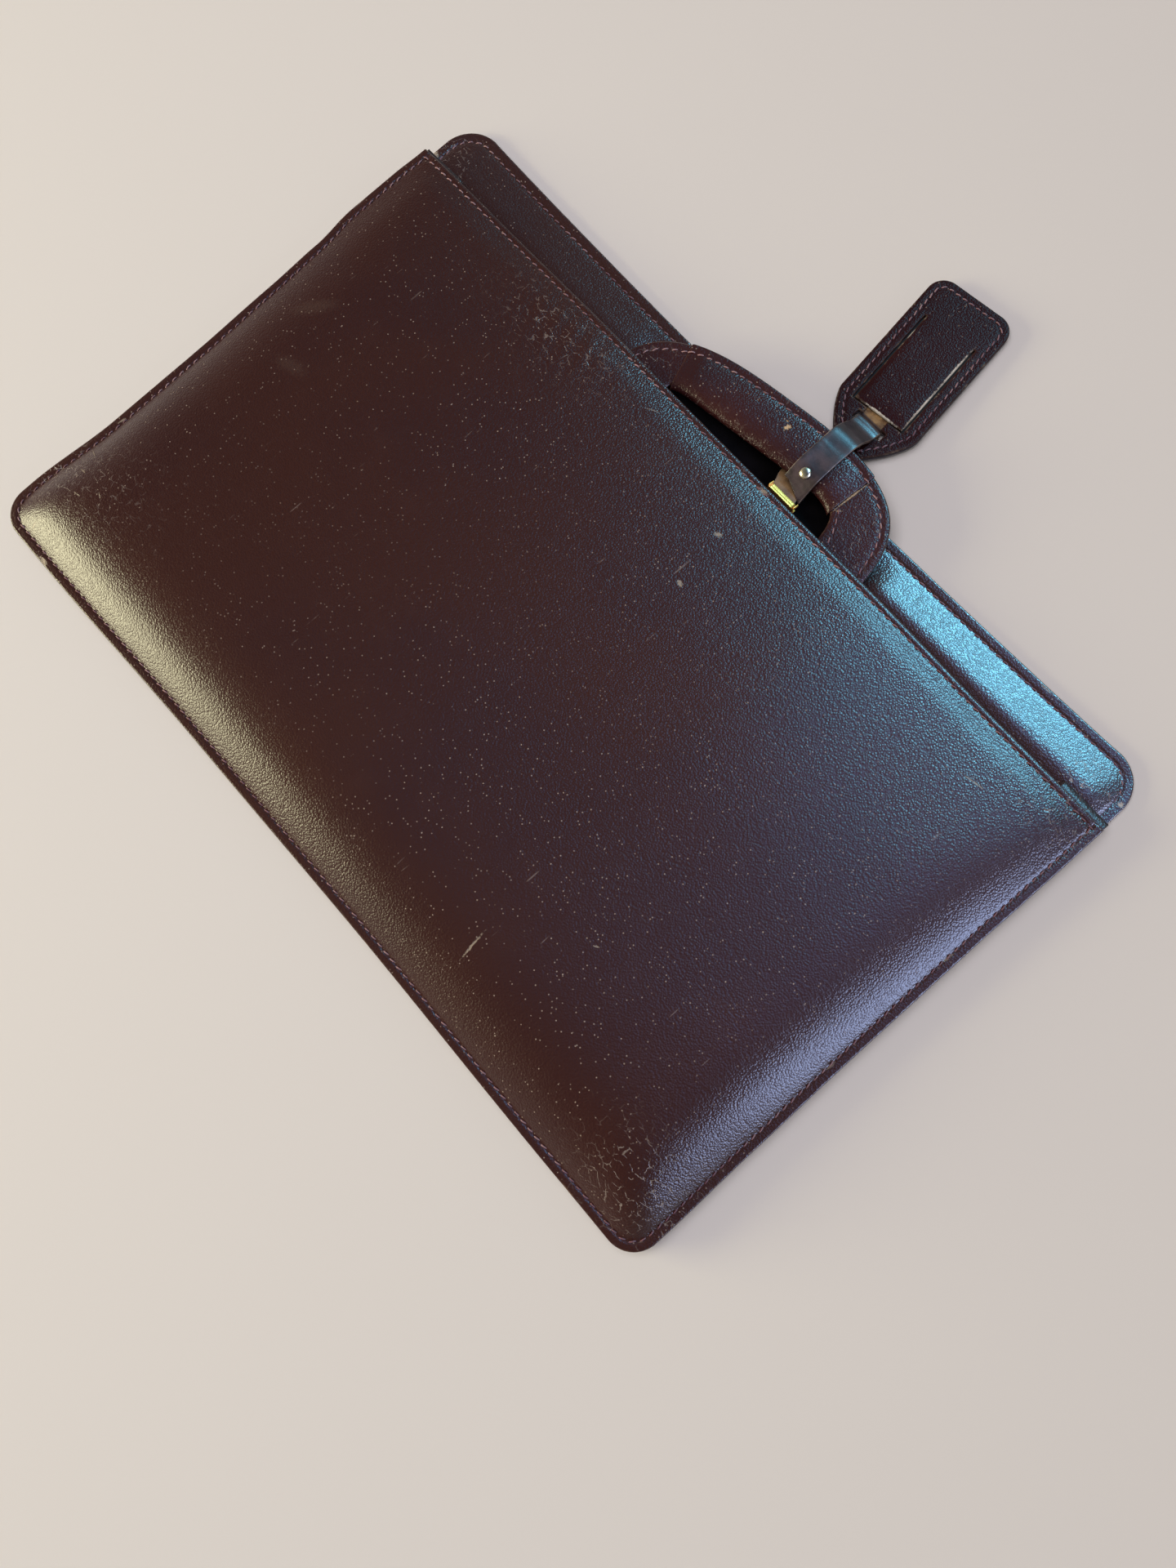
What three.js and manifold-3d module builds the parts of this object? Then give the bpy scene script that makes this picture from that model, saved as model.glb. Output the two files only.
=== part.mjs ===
// A flat leather document case lying on its back, in millimetres: a pillowed front, a longer back,
// a folded gusset on three sides, a half-moon handle between the walls, and a luggage tag on a strap.
// X runs along the case, Y from the bottom edge to the handle, Z up out of the front.
// The origin is the middle of the flat back face.
import * as THREE from 'three';
import { mergeVertices } from 'three/addons/utils/BufferGeometryUtils.js';
import Module from 'manifold-3d';

const wasm = await Module();
wasm.setup();

// Driving dimensions
const gap = 0.3;
const case_width = 407;
const case_height = 271;
const bottom_corner_radius = 13;
const top_corner_radius = 16;
const flange = 4.2;
const back_wall = 2.2;
const lining_wall = 1;
const gusset_wall = 1.2;
const gusset_mouth = 1.6;
const gusset_depth = 24;
const gusset_corner_depth = 10;
const gusset_fold_height = 1.6;
const gusset_top_reach = 3;
const front_wall = 1.8;
const mouth_below_top = 28;
const hem_wall = 2.6;
const hem_width = 6;
const crown = 12;
const edge_rise = 44;
const mouth_rise = 200;
const mouth_power = 1.6;
const mouth_bow_half_width = 150;
const mouth_bow_end = 0.4;
const side_pull_in = 2.75;
const bottom_pull_in = 1.8;
const back_top_dip = 3.6;
const back_dip_power = 0.8;
const mouth_lift = 1.9;
const rise_power = 3;

const handle_half_width = 70.5;
const handle_height = 46.6;
const handle_power_across = 2.95;
const handle_power_up = 3.29;
const handle_lean = 7.8;
const handle_tilt = 3.7;
const handle_centre_x = 1.8;
const handle_below_mouth = 13.5;
const handle_leg = 32;
const handle_wall = 3;
const opening_half_width = 45;
const opening_height = 23;
const opening_power_left = 12;
const opening_power_right = 5;
const grip_wall = 1.2;
const grip_belly = 7.8;
const grip_seat = 2.6;
const grip_end_belly = 0.8;
const grip_end_ease = 0.1;

const strap_width = 12.5;
const strap_thickness = 1.5;
const strap_place = 0.3007;
const strap_bow = 4.6;
const stud_diameter = 4.8;
const stud_dome = 1.5;
const stud_post = 2;
const stud_from_fold = 2.4;
const strap_end_skew = 3;
const lining_past_fold = 3.5;
const clip_length = 14.6;
const clip_depth = 2.9;
const clip_wall = 0.5;
const clip_ear = 1.1;

const tag_width = 40;
const tag_length = 87;
const tag_wall = 1.5;
const tag_lean = 7.1;
const tag_corner_radius = 8;
const tag_nose_width = 12;
const tag_nose_length = 22;
const tag_nose_power = 1.5;
const slot_from_nose = 12.6;
const slot_from_grip = 14;
const slot_width = 15.5;
const window_width = 10.5;
const tongue_from_nose = 21;
const tongue_width = 24.5;
const tongue_length = 47;
const tongue_cut = 0.8;

// Heights of the layers, each from the one below it
const lining_top = back_wall + gap + lining_wall;
const gusset_low = back_wall + gap;
const gusset_high = gusset_low + 2 * gusset_wall + gusset_mouth;
const flange_top = gusset_high + gap + front_wall;
const half_width = case_width / 2;
const bottom_y = -case_height / 2;
const top_y = case_height / 2;
const mouth_y = top_y - mouth_below_top;
const front_height = mouth_y - bottom_y;
const strap_x = handle_centre_x + handle_half_width * strap_place;

// Outline of the walls: how far each edge is drawn in, as a share of its pull-in, from the bottom up
// and from left to right. The left edge swells near its top, where the gusset pushes out.
const side_draw = [
  { at: 0.0, left: -0.1, right: -0.1 },
  { at: 0.08, left: -0.1, right: -0.05 },
  { at: 0.26, left: 0.95, right: 0.2 },
  { at: 0.45, left: 1.0, right: 0.35 },
  { at: 0.62, left: 0.75, right: 0.3 },
  { at: 0.74, left: 0.45, right: 0.25 },
  { at: 0.83, left: -0.3, right: 0.1 },
  { at: 0.93, left: -0.25, right: 0.0 },
  { at: 1.0, left: 0.0, right: 0.0 },
];
const bottom_draw = [
  { at: 0.0, drawn: 0.0 },
  { at: 0.08, drawn: -0.1 },
  { at: 0.35, drawn: 0.8 },
  { at: 0.58, drawn: 1.0 },
  { at: 0.9, drawn: 0.15 },
  { at: 1.0, drawn: 0.0 },
];
// How far the mouth's edge rises, as a share of its lift, from left to right.
const mouth_rises = [
  { at: 0.0, rise: 1.0 },
  { at: 0.1, rise: 0.895 },
  { at: 0.5, rise: 0.263 },
  { at: 1.0, rise: 0.0 },
];
// How far the gusset's fold swells past the edge, as a share of its wall, from the mouth's left end
// round the bottom to its right end.
const gusset_swell = [
  { at: 0.0, out: 0.0 },
  { at: 0.02, out: 0.4 },
  { at: 0.05, out: 0.9 },
  { at: 0.1, out: 0.1 },
  { at: 0.16, out: 0.0 },
  { at: 1.0, out: 0.0 },
];
// Hollows and swellings of the front: places and radii as shares of the width and the front's height,
// depths as shares of the crown.
const front_dents = [
  { x: -0.24, y: 0.9, rx: 0.09, ry: 0.1, depth: -0.1 },
  { x: -0.38, y: 0.55, rx: 0.12, ry: 0.25, depth: -0.08 },
  { x: 0.08, y: 0.5, rx: 0.22, ry: 0.22, depth: -0.12 },
  { x: 0.26, y: 0.62, rx: 0.12, ry: 0.16, depth: 0.06 },
  { x: 0.34, y: 0.22, rx: 0.1, ry: 0.16, depth: 0.06 },
  { x: -0.2, y: 0.2, rx: 0.2, ry: 0.14, depth: 0.05 },
];

function lerp(a, b, share) {
  return a + (b - a) * share;
}

function smooth(share) {
  const t = Math.min(1, Math.max(0, share));
  return t * t * (3 - 2 * t);
}

// A value from a table's column, eased between its rows.
function fromTable(rows, column, at) {
  const next = rows.findIndex((row) => row.at >= at);
  if (next < 0) return rows[rows.length - 1][column];
  if (next === 0) return rows[0][column];
  const [low, high] = [rows[next - 1], rows[next]];
  return lerp(low[column], high[column], smooth((at - low.at) / (high.at - low.at)));
}

function leftEdge(y) {
  return -half_width + side_pull_in * fromTable(side_draw, 'left', (y - bottom_y) / front_height);
}

function rightEdge(y) {
  return half_width - side_pull_in * fromTable(side_draw, 'right', (y - bottom_y) / front_height);
}

function bottomEdge(x) {
  return bottom_y + bottom_pull_in * fromTable(bottom_draw, 'drawn', x / case_width + 0.5);
}

// How far a rounded corner draws an edge in at a height above the end of that edge.
function cornerInset(above, radius) {
  if (above >= radius) return 0;
  const rest = radius - Math.max(0, above);
  return radius - Math.sqrt(Math.max(0, radius * radius - rest * rest));
}

// The side edges at a height, with the rounded bottom corners taken off.
function sideLimits(y) {
  const left = leftEdge(y) + cornerInset(y - bottomEdge(-half_width), bottom_corner_radius);
  const right = rightEdge(y) - cornerInset(y - bottomEdge(half_width), bottom_corner_radius);
  return { left, right };
}

// A closed body from rings of points: the rings are joined in turn, and the two end rings are capped.
function loft(rings) {
  const count = rings[0].length;
  const positions = rings.flat().flatMap((p) => [p.x, p.y, p.z]);
  const faces = [];
  for (let r = 0; r < rings.length - 1; r += 1) {
    for (let k = 0; k < count; k += 1) {
      const a = r * count + k;
      const b = r * count + ((k + 1) % count);
      faces.push(a, b, b + count, a, b + count, a + count);
    }
  }
  const last = (rings.length - 1) * count;
  for (const [ring, first, turned] of [[rings[0], 0, true], [rings[rings.length - 1], last, false]]) {
    for (const [i, j, k] of capFaces(ring)) {
      faces.push(first + i, first + (turned ? k : j), first + (turned ? j : k));
    }
  }
  return outward(positions, faces);
}

// The triangles of a flat ring, with their corners in the ring's own order of turning.
function capFaces(ring) {
  const normal = new THREE.Vector3();
  ring.forEach((p, k) => {
    normal.add(p.clone().cross(ring[(k + 1) % ring.length]));
  });
  normal.normalize();
  const across = new THREE.Vector3(1, 0, 0);
  const [nx, ny, nz] = normal.toArray().map(Math.abs);
  if (nx > ny && nx > nz) across.set(0, 1, 0);
  const u = across.cross(normal).normalize();
  const v = normal.clone().cross(u);
  const flat = ring.map((p) => new THREE.Vector2(p.dot(u), p.dot(v)));
  const found = THREE.ShapeUtils.triangulateShape(flat, []);
  return found.map((face) => {
    const [a, b, c] = face.map((k) => flat[k]);
    const turn = (b.x - a.x) * (c.y - a.y) - (b.y - a.y) * (c.x - a.x);
    return turn < 0 ? [face[0], face[2], face[1]] : face;
  });
}

// A geometry whose faces all point out, whichever way round the rings ran.
function outward(positions, faces) {
  let volume = 0;
  const [a, b, c] = [new THREE.Vector3(), new THREE.Vector3(), new THREE.Vector3()];
  for (let f = 0; f < faces.length; f += 3) {
    a.fromArray(positions, faces[f] * 3);
    b.fromArray(positions, faces[f + 1] * 3);
    c.fromArray(positions, faces[f + 2] * 3);
    volume += a.dot(b.clone().cross(c));
  }
  const turned = [];
  for (let f = 0; f < faces.length; f += 3) {
    turned.push(faces[f], faces[volume < 0 ? f + 2 : f + 1], faces[volume < 0 ? f + 1 : f + 2]);
  }
  const geometry = new THREE.BufferGeometry();
  geometry.setAttribute('position', new THREE.Float32BufferAttribute(positions, 3));
  geometry.setIndex(turned);
  return geometry;
}

// A flat plate from an outline and its holes, with its underside at a height.
function plate(outline, holes, thickness, bottom) {
  const shape = new THREE.Shape(outline);
  shape.holes = holes.map((hole) => new THREE.Path(hole));
  const geometry = new THREE.ExtrudeGeometry(shape, { depth: thickness, bevelEnabled: false });
  return geometry.translate(0, 0, bottom);
}

function toManifold(geometry) {
  const bare = geometry.clone();
  bare.deleteAttribute('normal');
  bare.deleteAttribute('uv');
  const merged = mergeVertices(bare);
  const vertProperties = new Float32Array(merged.attributes.position.array);
  const triVerts = new Uint32Array(merged.index.array);
  return new wasm.Manifold(new wasm.Mesh({ numProp: 3, vertProperties, triVerts }));
}

function fromManifold(solid) {
  const mesh = solid.getMesh();
  const geometry = new THREE.BufferGeometry();
  geometry.setAttribute('position', new THREE.BufferAttribute(new Float32Array(mesh.vertProperties), 3));
  geometry.setIndex(new THREE.BufferAttribute(new Uint32Array(mesh.triVerts), 1));
  return geometry;
}

// Front wall: height of its outer face at a place.
function frontTop(x, y) {
  const from_side = Math.min(x - leftEdge(y), rightEdge(y) - x);
  const from_bottom = y - bottomEdge(x);
  const blend = Math.max(0, bottom_corner_radius - Math.abs(from_side - from_bottom));
  const from_edge = Math.min(from_side, from_bottom) - (blend * blend) / (4 * bottom_corner_radius);
  const edge_share = Math.min(1, Math.max(0, (from_edge - flange) / edge_rise));
  const mouth_share = Math.min(1, Math.max(0, (mouthEdge(x) - y) / mouth_rise));
  const past_handle = (Math.abs(x) - handle_half_width) / (mouth_bow_half_width - handle_half_width);
  const bow = mouth_bow * lerp(1, mouth_bow_end, smooth(past_handle));
  let swell = crown;
  for (const dent of front_dents) {
    const u = (x / case_width - dent.x) / dent.rx;
    const v = ((y - bottom_y) / front_height - dent.y) / dent.ry;
    swell += crown * dent.depth * Math.exp(-(u * u + v * v));
  }
  const mouth_height = lerp(bow, swell, 1 - (1 - mouth_share) ** mouth_power);
  return flange_top + mouth_height * (1 - (1 - edge_share) ** rise_power);
}

// The front's hemmed top edge, a little higher at its left end.
function mouthEdge(x) {
  return mouth_y - gap + mouth_lift * fromTable(mouth_rises, 'rise', x / case_width + 0.5);
}

function frontPanel() {
  const near_edge = [0, 0.5, 1, 1.4, 2.1, 3.1, 4.6, 6.6];
  const middle_columns = 16;
  const middle_rows = 8;
  const below_mouth = [5, 3.333, 2, 1, 0.5, 0].map((hems) => hems * hem_width);
  const inner = near_edge[near_edge.length - 1] * flange;
  const columns = [];
  for (const step of near_edge) columns.push((left) => left + step * flange);
  for (let k = 1; k < middle_columns; k += 1) {
    columns.push((left, right) => lerp(left + inner, right - inner, k / middle_columns));
  }
  for (const step of [...near_edge].reverse()) columns.push((left, right) => right - step * flange);
  const rows = near_edge.map((step) => (x) => bottomEdge(x) + step * flange);
  for (let k = 1; k < middle_rows; k += 1) {
    rows.push((x) => lerp(bottomEdge(x) + inner, mouthEdge(x) - below_mouth[0], k / middle_rows));
  }
  for (const below of below_mouth) rows.push((x) => mouthEdge(x) - below);
  return gridShell(columns, rows);
}

// A wall over a grid of columns and rows, its inner face set in along the slope of its outer face.
function gridShell(columns, rows) {
  const outer = [];
  const inner = [];
  const step = 0.5;
  for (const row of rows) {
    for (const column of columns) {
      let x = column(-half_width, half_width);
      let y = row(x);
      const limits = sideLimits(y);
      x = column(limits.left, limits.right);
      y = row(x);
      const z = frontTop(x, y);
      const slope_x = (frontTop(x + step, y) - frontTop(x - step, y)) / (2 * step);
      const slope_y = (frontTop(x, y + step) - frontTop(x, y - step)) / (2 * step);
      const normal = new THREE.Vector3(-slope_x, -slope_y, 1).normalize();
      const hem = smooth((y - (mouthEdge(x) - hem_width)) / (hem_width / 2));
      const wall = lerp(front_wall, hem_wall, hem * smooth((z - flange_top) / hem_wall));
      outer.push(new THREE.Vector3(x, y, z));
      inner.push(new THREE.Vector3(x - normal.x * wall, y, z - normal.z * wall));
    }
  }
  const wide = columns.length;
  const all = [...outer, ...inner];
  const faces = [];
  for (let r = 0; r < rows.length - 1; r += 1) {
    for (let c = 0; c < wide - 1; c += 1) {
      const a = r * wide + c;
      const b = outer.length + a;
      faces.push(a, a + 1, a + 1 + wide, a, a + 1 + wide, a + wide);
      faces.push(b, b + 1 + wide, b + 1, b, b + wide, b + 1 + wide);
    }
  }
  for (const [from, to] of rim(wide, rows.length)) {
    faces.push(from, outer.length + to, to, from, outer.length + from, outer.length + to);
  }
  return outward(all.flatMap((p) => [p.x, p.y, p.z]), faces);
}

// The grid's border as pairs of neighbouring points, counter-clockwise.
function rim(wide, high) {
  const border = [];
  for (let c = 0; c < wide - 1; c += 1) border.push(c);
  for (let r = 0; r < high - 1; r += 1) border.push(r * wide + wide - 1);
  for (let c = wide - 1; c > 0; c -= 1) border.push((high - 1) * wide + c);
  for (let r = high - 1; r > 0; r -= 1) border.push(r * wide);
  return border.map((point, k) => [point, border[(k + 1) % border.length]]);
}

// The U-shaped outline from the mouth's left end, round the bottom, to its right end: each station is a
// point on the edge, the direction inward, and how far the gusset reaches in there.
function edgeStations() {
  const side_steps = 9;
  const corner_steps = 6;
  const bottom_steps = 12;
  const easing = gusset_depth + bottom_corner_radius;
  const stations = [];
  const low = bottomEdge(-half_width) + bottom_corner_radius;
  const high = mouth_y + gusset_top_reach;
  const side = (k, edge, inward) => {
    const y = lerp(high, low, k / side_steps);
    const depth = lerp(gusset_corner_depth, gusset_depth, smooth((y - low) / easing));
    return { x: edge(y), y, nx: inward, ny: 0, depth };
  };
  for (let k = 0; k < side_steps; k += 1) stations.push(side(k, leftEdge, 1));
  const corner = (k, edge, sign) => {
    const turn = (Math.PI / 2) * (k / corner_steps);
    const nx = Math.cos(turn);
    const ny = Math.sin(turn);
    const centre_x = edge(low) - sign * bottom_corner_radius;
    const x = centre_x + sign * bottom_corner_radius * nx;
    const centre_y = bottomEdge(centre_x) + bottom_corner_radius;
    return { x, y: centre_y - bottom_corner_radius * ny, nx: -sign * nx, ny, depth: gusset_corner_depth };
  };
  for (let k = 0; k <= corner_steps; k += 1) stations.push(corner(k, leftEdge, -1));
  const from = stations[stations.length - 1].x;
  const to = rightEdge(low) - bottom_corner_radius;
  for (let k = 1; k < bottom_steps; k += 1) {
    const x = lerp(from, to, k / bottom_steps);
    const inside = Math.min(x - from, to - x);
    const depth = lerp(gusset_corner_depth, gusset_depth, smooth(inside / easing));
    stations.push({ x, y: bottomEdge(x), nx: 0, ny: 1, depth });
  }
  for (let k = corner_steps; k >= 0; k -= 1) stations.push(corner(k, rightEdge, 1));
  for (let k = side_steps - 1; k >= 0; k -= 1) stations.push(side(k, rightEdge, -1));
  return stations;
}

// The gusset: a strip folded inward like a V between the edges of the front and the back.
function gusset() {
  const stations = edgeStations();
  const fold_half = 1.1 * gusset_wall;
  const rings = stations.map((s, k) => {
    const swell = gusset_wall * fromTable(gusset_swell, 'out', k / (stations.length - 1));
    const tip = s.depth - gusset_wall;
    const fold = (gusset_low + gusset_high) / 2 + gusset_fold_height;
    const section = [
      { d: -swell, z: gusset_low },
      { d: flange, z: gusset_low },
      { d: tip, z: fold - fold_half },
      { d: s.depth, z: fold },
      { d: tip, z: fold + fold_half },
      { d: flange, z: gusset_high },
      { d: -swell, z: gusset_high },
      { d: -swell, z: gusset_high - gusset_wall },
      { d: flange, z: gusset_high - gusset_wall },
      { d: tip - gusset_wall, z: fold },
      { d: flange, z: gusset_low + gusset_wall },
      { d: -swell, z: gusset_low + gusset_wall },
    ];
    return section.map(({ d, z }) => new THREE.Vector3(s.x + s.nx * d, s.y + s.ny * d, z));
  });
  return loft(rings);
}

// The back's outline: along the bottom, up the right side, along the dipped top, down the left side.
function backOutline() {
  const points = [];
  const side_steps = 14;
  const corner_steps = 7;
  const top_steps = 16;
  const bottom_steps = 12;
  const low = bottomEdge(half_width) + bottom_corner_radius;
  const high = top_y - top_corner_radius;
  const arc = (cx, cy, radius, from, to) => {
    for (let k = 0; k <= corner_steps; k += 1) {
      const turn = lerp(from, to, k / corner_steps);
      points.push(new THREE.Vector2(cx + radius * Math.cos(turn), cy + radius * Math.sin(turn)));
    }
  };
  const right = rightEdge(low) - bottom_corner_radius;
  const left = leftEdge(low) + bottom_corner_radius;
  for (let k = 1; k < bottom_steps; k += 1) {
    const x = lerp(left, right, k / bottom_steps);
    points.push(new THREE.Vector2(x, bottomEdge(x)));
  }
  arc(right, bottomEdge(right) + bottom_corner_radius, bottom_corner_radius, -Math.PI / 2, 0);
  for (let k = 1; k < side_steps; k += 1) {
    const y = lerp(low, high, k / side_steps);
    points.push(new THREE.Vector2(rightEdge(y), y));
  }
  arc(rightEdge(high) - top_corner_radius, high, top_corner_radius, 0, Math.PI / 2);
  const top_right = rightEdge(high) - top_corner_radius;
  const top_left = leftEdge(high) + top_corner_radius;
  for (let k = 1; k < top_steps; k += 1) {
    points.push(new THREE.Vector2(lerp(top_right, top_left, k / top_steps), topEdge(k / top_steps)));
  }
  arc(top_left, high, top_corner_radius, Math.PI / 2, Math.PI);
  for (let k = 1; k < side_steps; k += 1) {
    const y = lerp(high, low, k / side_steps);
    points.push(new THREE.Vector2(leftEdge(y), y));
  }
  arc(left, bottomEdge(left) + bottom_corner_radius, bottom_corner_radius, Math.PI, Math.PI * 1.5);
  return points;
}

// The back's top edge, which sags between its corners.
function topEdge(share) {
  return top_y - back_top_dip * Math.sin(Math.PI * share) ** back_dip_power;
}

// The lining: a flat sheet inside the gusset, with a tab that shows through the handle's opening.
function liningOutline() {
  const inset = gusset_depth / 2 + gusset_wall;
  const left = -half_width + inset + side_pull_in;
  const right = half_width - inset - side_pull_in;
  const low = bottom_y + inset + bottom_pull_in;
  const high = mouth_y - hem_width;
  const tab_half = opening_half_width + hem_width;
  const tab_low = handle_centre_x - tab_half;
  const tab_high = handle_centre_x + tab_half;
  return [
    [left, low], [right, low], [right, high], [tab_high, high], [tab_high, lining_tab_y],
    [tab_low, lining_tab_y], [tab_low, high], [left, high],
  ].map(([x, y]) => new THREE.Vector2(x, y));
}

// Handle frame: across is along the arch, up is away from the case. The arch lies in a plane that leans
// along the case and rises towards its top.
const tilt = THREE.MathUtils.degToRad(handle_tilt);
const lean = THREE.MathUtils.degToRad(handle_lean);
const handle_y = mouth_y - handle_below_mouth;
const leg_reach = (handle_leg * Math.cos(lean) + handle_half_width * Math.sin(lean)) * Math.tan(tilt);
const handle_z = lining_top + gap + handle_wall / 2 + leg_reach + gap;

// The middle height of the handle's plane at a place along Y.
function handlePlane(y) {
  return handle_z + (y - handle_y) * Math.tan(tilt);
}

function archOuter(across) {
  const share = Math.min(1, Math.abs(across) / handle_half_width);
  return handle_height * (1 - share ** handle_power_across) ** (1 / handle_power_up);
}

function archOpening(across, height) {
  const power = across < 0 ? opening_power_left : opening_power_right;
  const share = Math.min(1, Math.abs(across) / opening_half_width);
  return height * (1 - share ** power) ** (1 / power);
}

// Points of a half ring between two ends, closer together where it turns down at its ends.
function archPoints(half, height, count) {
  const points = [];
  for (let k = 0; k <= count; k += 1) {
    const across = half * Math.cos(Math.PI * (k / count));
    points.push(new THREE.Vector2(across, height(across)));
  }
  return points;
}

function handleArch() {
  const arch_steps = 44;
  const opening_steps = 40;
  const outer = archPoints(handle_half_width, archOuter, arch_steps);
  const core_height = opening_height + grip_seat;
  const inner = archPoints(opening_half_width, (across) => archOpening(across, core_height), opening_steps);
  const outline = [
    new THREE.Vector2(handle_half_width, -handle_leg), ...outer,
    new THREE.Vector2(-handle_half_width, -handle_leg),
    new THREE.Vector2(-opening_half_width, -handle_leg), ...inner.reverse(),
    new THREE.Vector2(opening_half_width, -handle_leg),
  ];
  return plate(outline, [], handle_wall, -handle_wall / 2);
}

// The grip: leather wrapped round the arch from its fold below to its two edges along the top. Each row
// is a share of the way from the fold to the top edge, and a share of the belly's half thickness.
const grip_profile = [
  { up: 0.0, out: 0.0 },
  { up: 0.015, out: 0.32 },
  { up: 0.06, out: 0.62 },
  { up: 0.15, out: 0.88 },
  { up: 0.3, out: 1.0 },
  { up: 0.55, out: 0.97 },
  { up: 0.76, out: 0.86 },
];
// Where the grip's flat stitched flange runs, and where its wall starts to line the arch, as shares of
// the same way.
const grip_flange = [0.86, 1];
const grip_lined_from = 0.05;
// The grip's two ends, as shares of the opening's half width at the fold and of the arch's at the top.
const grip_ends = { fold_left: -0.96, top_left: -0.672, fold_right: 0.925, top_right: 0.667 };

function gripSections() {
  const steps = 22;
  const flange_half = handle_wall / 2 + gap + grip_wall;
  const sections = [];
  for (let k = 0; k <= steps; k += 1) {
    const share = k / steps;
    const at_fold = opening_half_width * lerp(grip_ends.fold_left, grip_ends.fold_right, share);
    const at_top = handle_half_width * lerp(grip_ends.top_left, grip_ends.top_right, share);
    const fold = new THREE.Vector2(at_fold, archOpening(at_fold, opening_height));
    const top = new THREE.Vector2(at_top, archOuter(at_top));
    const end_ease = lerp(grip_end_belly, 1, smooth(Math.min(share, 1 - share) / grip_end_ease));
    sections.push({ fold, top, belly: Math.max(flange_half, (grip_belly / 2) * end_ease), flange_half });
  }
  return sections;
}

function handleGrip() {
  const rings = gripSections().map(({ fold, top, belly, flange_half }) => {
    const long = top.distanceTo(fold);
    const seat = grip_wall / long;
    const side = [
      ...grip_profile.map((row) => ({ up: row.up, out: belly * row.out })),
      ...grip_flange.map((up) => ({ up, out: flange_half })),
    ];
    const lined = [{ up: seat, out: 0 }];
    for (const row of side.filter((candidate) => candidate.up > grip_lined_from)) {
      const out = Math.max(handle_wall / 2 + gap, row.out - grip_wall);
      lined.push({ up: Math.max(row.up, seat), out });
    }
    const at = (row, sign) => {
      const place = fold.clone().lerp(top, row.up);
      return new THREE.Vector3(place.x, place.y, sign * row.out);
    };
    const front = side.map((row) => at(row, 1));
    const back = side.slice(1).map((row) => at(row, -1));
    const lined_front = lined.map((row) => at(row, 1));
    const lined_back = lined.slice(1).map((row) => at(row, -1));
    return [...back.reverse(), ...front, ...lined_front.reverse(), ...lined_back];
  });
  return loft(rings);
}

// How high the middle of the mouth stands, so that the hem passes over the handle.
const mouth_bow = handlePlane(mouth_y) + handle_wall / 2 + gap + hem_wall - flange_top;

// The place along Y, above the strap, of a curve of the handle given as a height over across.
function handleEdgeY(height) {
  let up = handle_height;
  let across = 0;
  const tries = 12;
  for (let k = 0; k < tries; k += 1) {
    across = (strap_x - handle_centre_x + up * Math.sin(lean)) / Math.cos(lean);
    up = height(across);
  }
  return handle_y + (across * Math.sin(lean) + up * Math.cos(lean)) * Math.cos(tilt);
}

const fold_y = handleEdgeY((across) => archOpening(across, opening_height));
const grip_top_y = handleEdgeY(archOuter);
const lining_tab_y = fold_y + lining_past_fold;
const slot_y = grip_top_y + slot_from_grip;
const tag_thickness = 2 * tag_wall + gap;
const tag_rise = strap_thickness + gap + gap / 2;
const slot_depth = tag_thickness / 2 + strap_thickness + 3 * gap;
const tag_slope = Math.asin(tag_rise / (tag_length - slot_from_nose));
const tag_leaning = THREE.MathUtils.degToRad(tag_lean);

// The strap's middle line over the grip, from its free end to the tag: how far past the grip's fold or
// top edge, in strap widths; how high over the handle's middle there, in half bellies of the grip, in half
// thicknesses of its edge, and in the strap's clearances.
const strap_over = [
  { from: 'fold', past: -0.344, belly: 0, edge: 0, clear: 0.38 },
  { from: 'fold', past: -0.16, belly: 0.5, edge: 0, clear: 0 },
  { from: 'fold', past: 0.056, belly: 0.88, edge: 0, clear: 0.19 },
  { from: 'fold', past: 0.272, belly: 1, edge: 0, clear: 1 },
  { from: 'fold', past: 0.592, belly: 1, edge: 0, clear: 1.55 },
  { from: 'fold', past: 1.118, belly: 1, edge: 0, clear: 1.96 },
  { from: 'top', past: -0.44, belly: 1, edge: 0, clear: 0.47 },
  { from: 'top', past: 0.048, belly: 0, edge: 1, clear: 1 },
  { from: 'top', past: 0.36, belly: 0, edge: 1, clear: -1.14 },
];
// The way back under the grip to the clip, measured in the same way, with how far the strap bows to the
// left as a share of its bow. A level is the tag's underside, the back, the lining or the handle's middle.
const strap_under = [
  { from: 'back_edge', past: 0.44, level: 'tag', belly: 0, clear: 0, bow: 0.4 },
  { from: 'back_edge', past: 0.024, level: 'back', belly: 0, clear: 1.24, bow: 0.6 },
  { from: 'lining_edge', past: 0.4, level: 'back', belly: 0, clear: 1.33, bow: 0.85 },
  { from: 'lining_edge', past: 0.04, level: 'lining', belly: 0, clear: 1.19, bow: 1 },
  { from: 'fold', past: -0.12, level: 'handle', belly: -1, clear: 0.19, bow: 0.85 },
  { from: 'fold', past: -0.48, level: 'handle', belly: -0.5, clear: 0.76, bow: 0.4 },
  { from: 'fold', past: -0.88, level: 'handle', belly: 0, clear: 0.95, bow: 0 },
];

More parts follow.
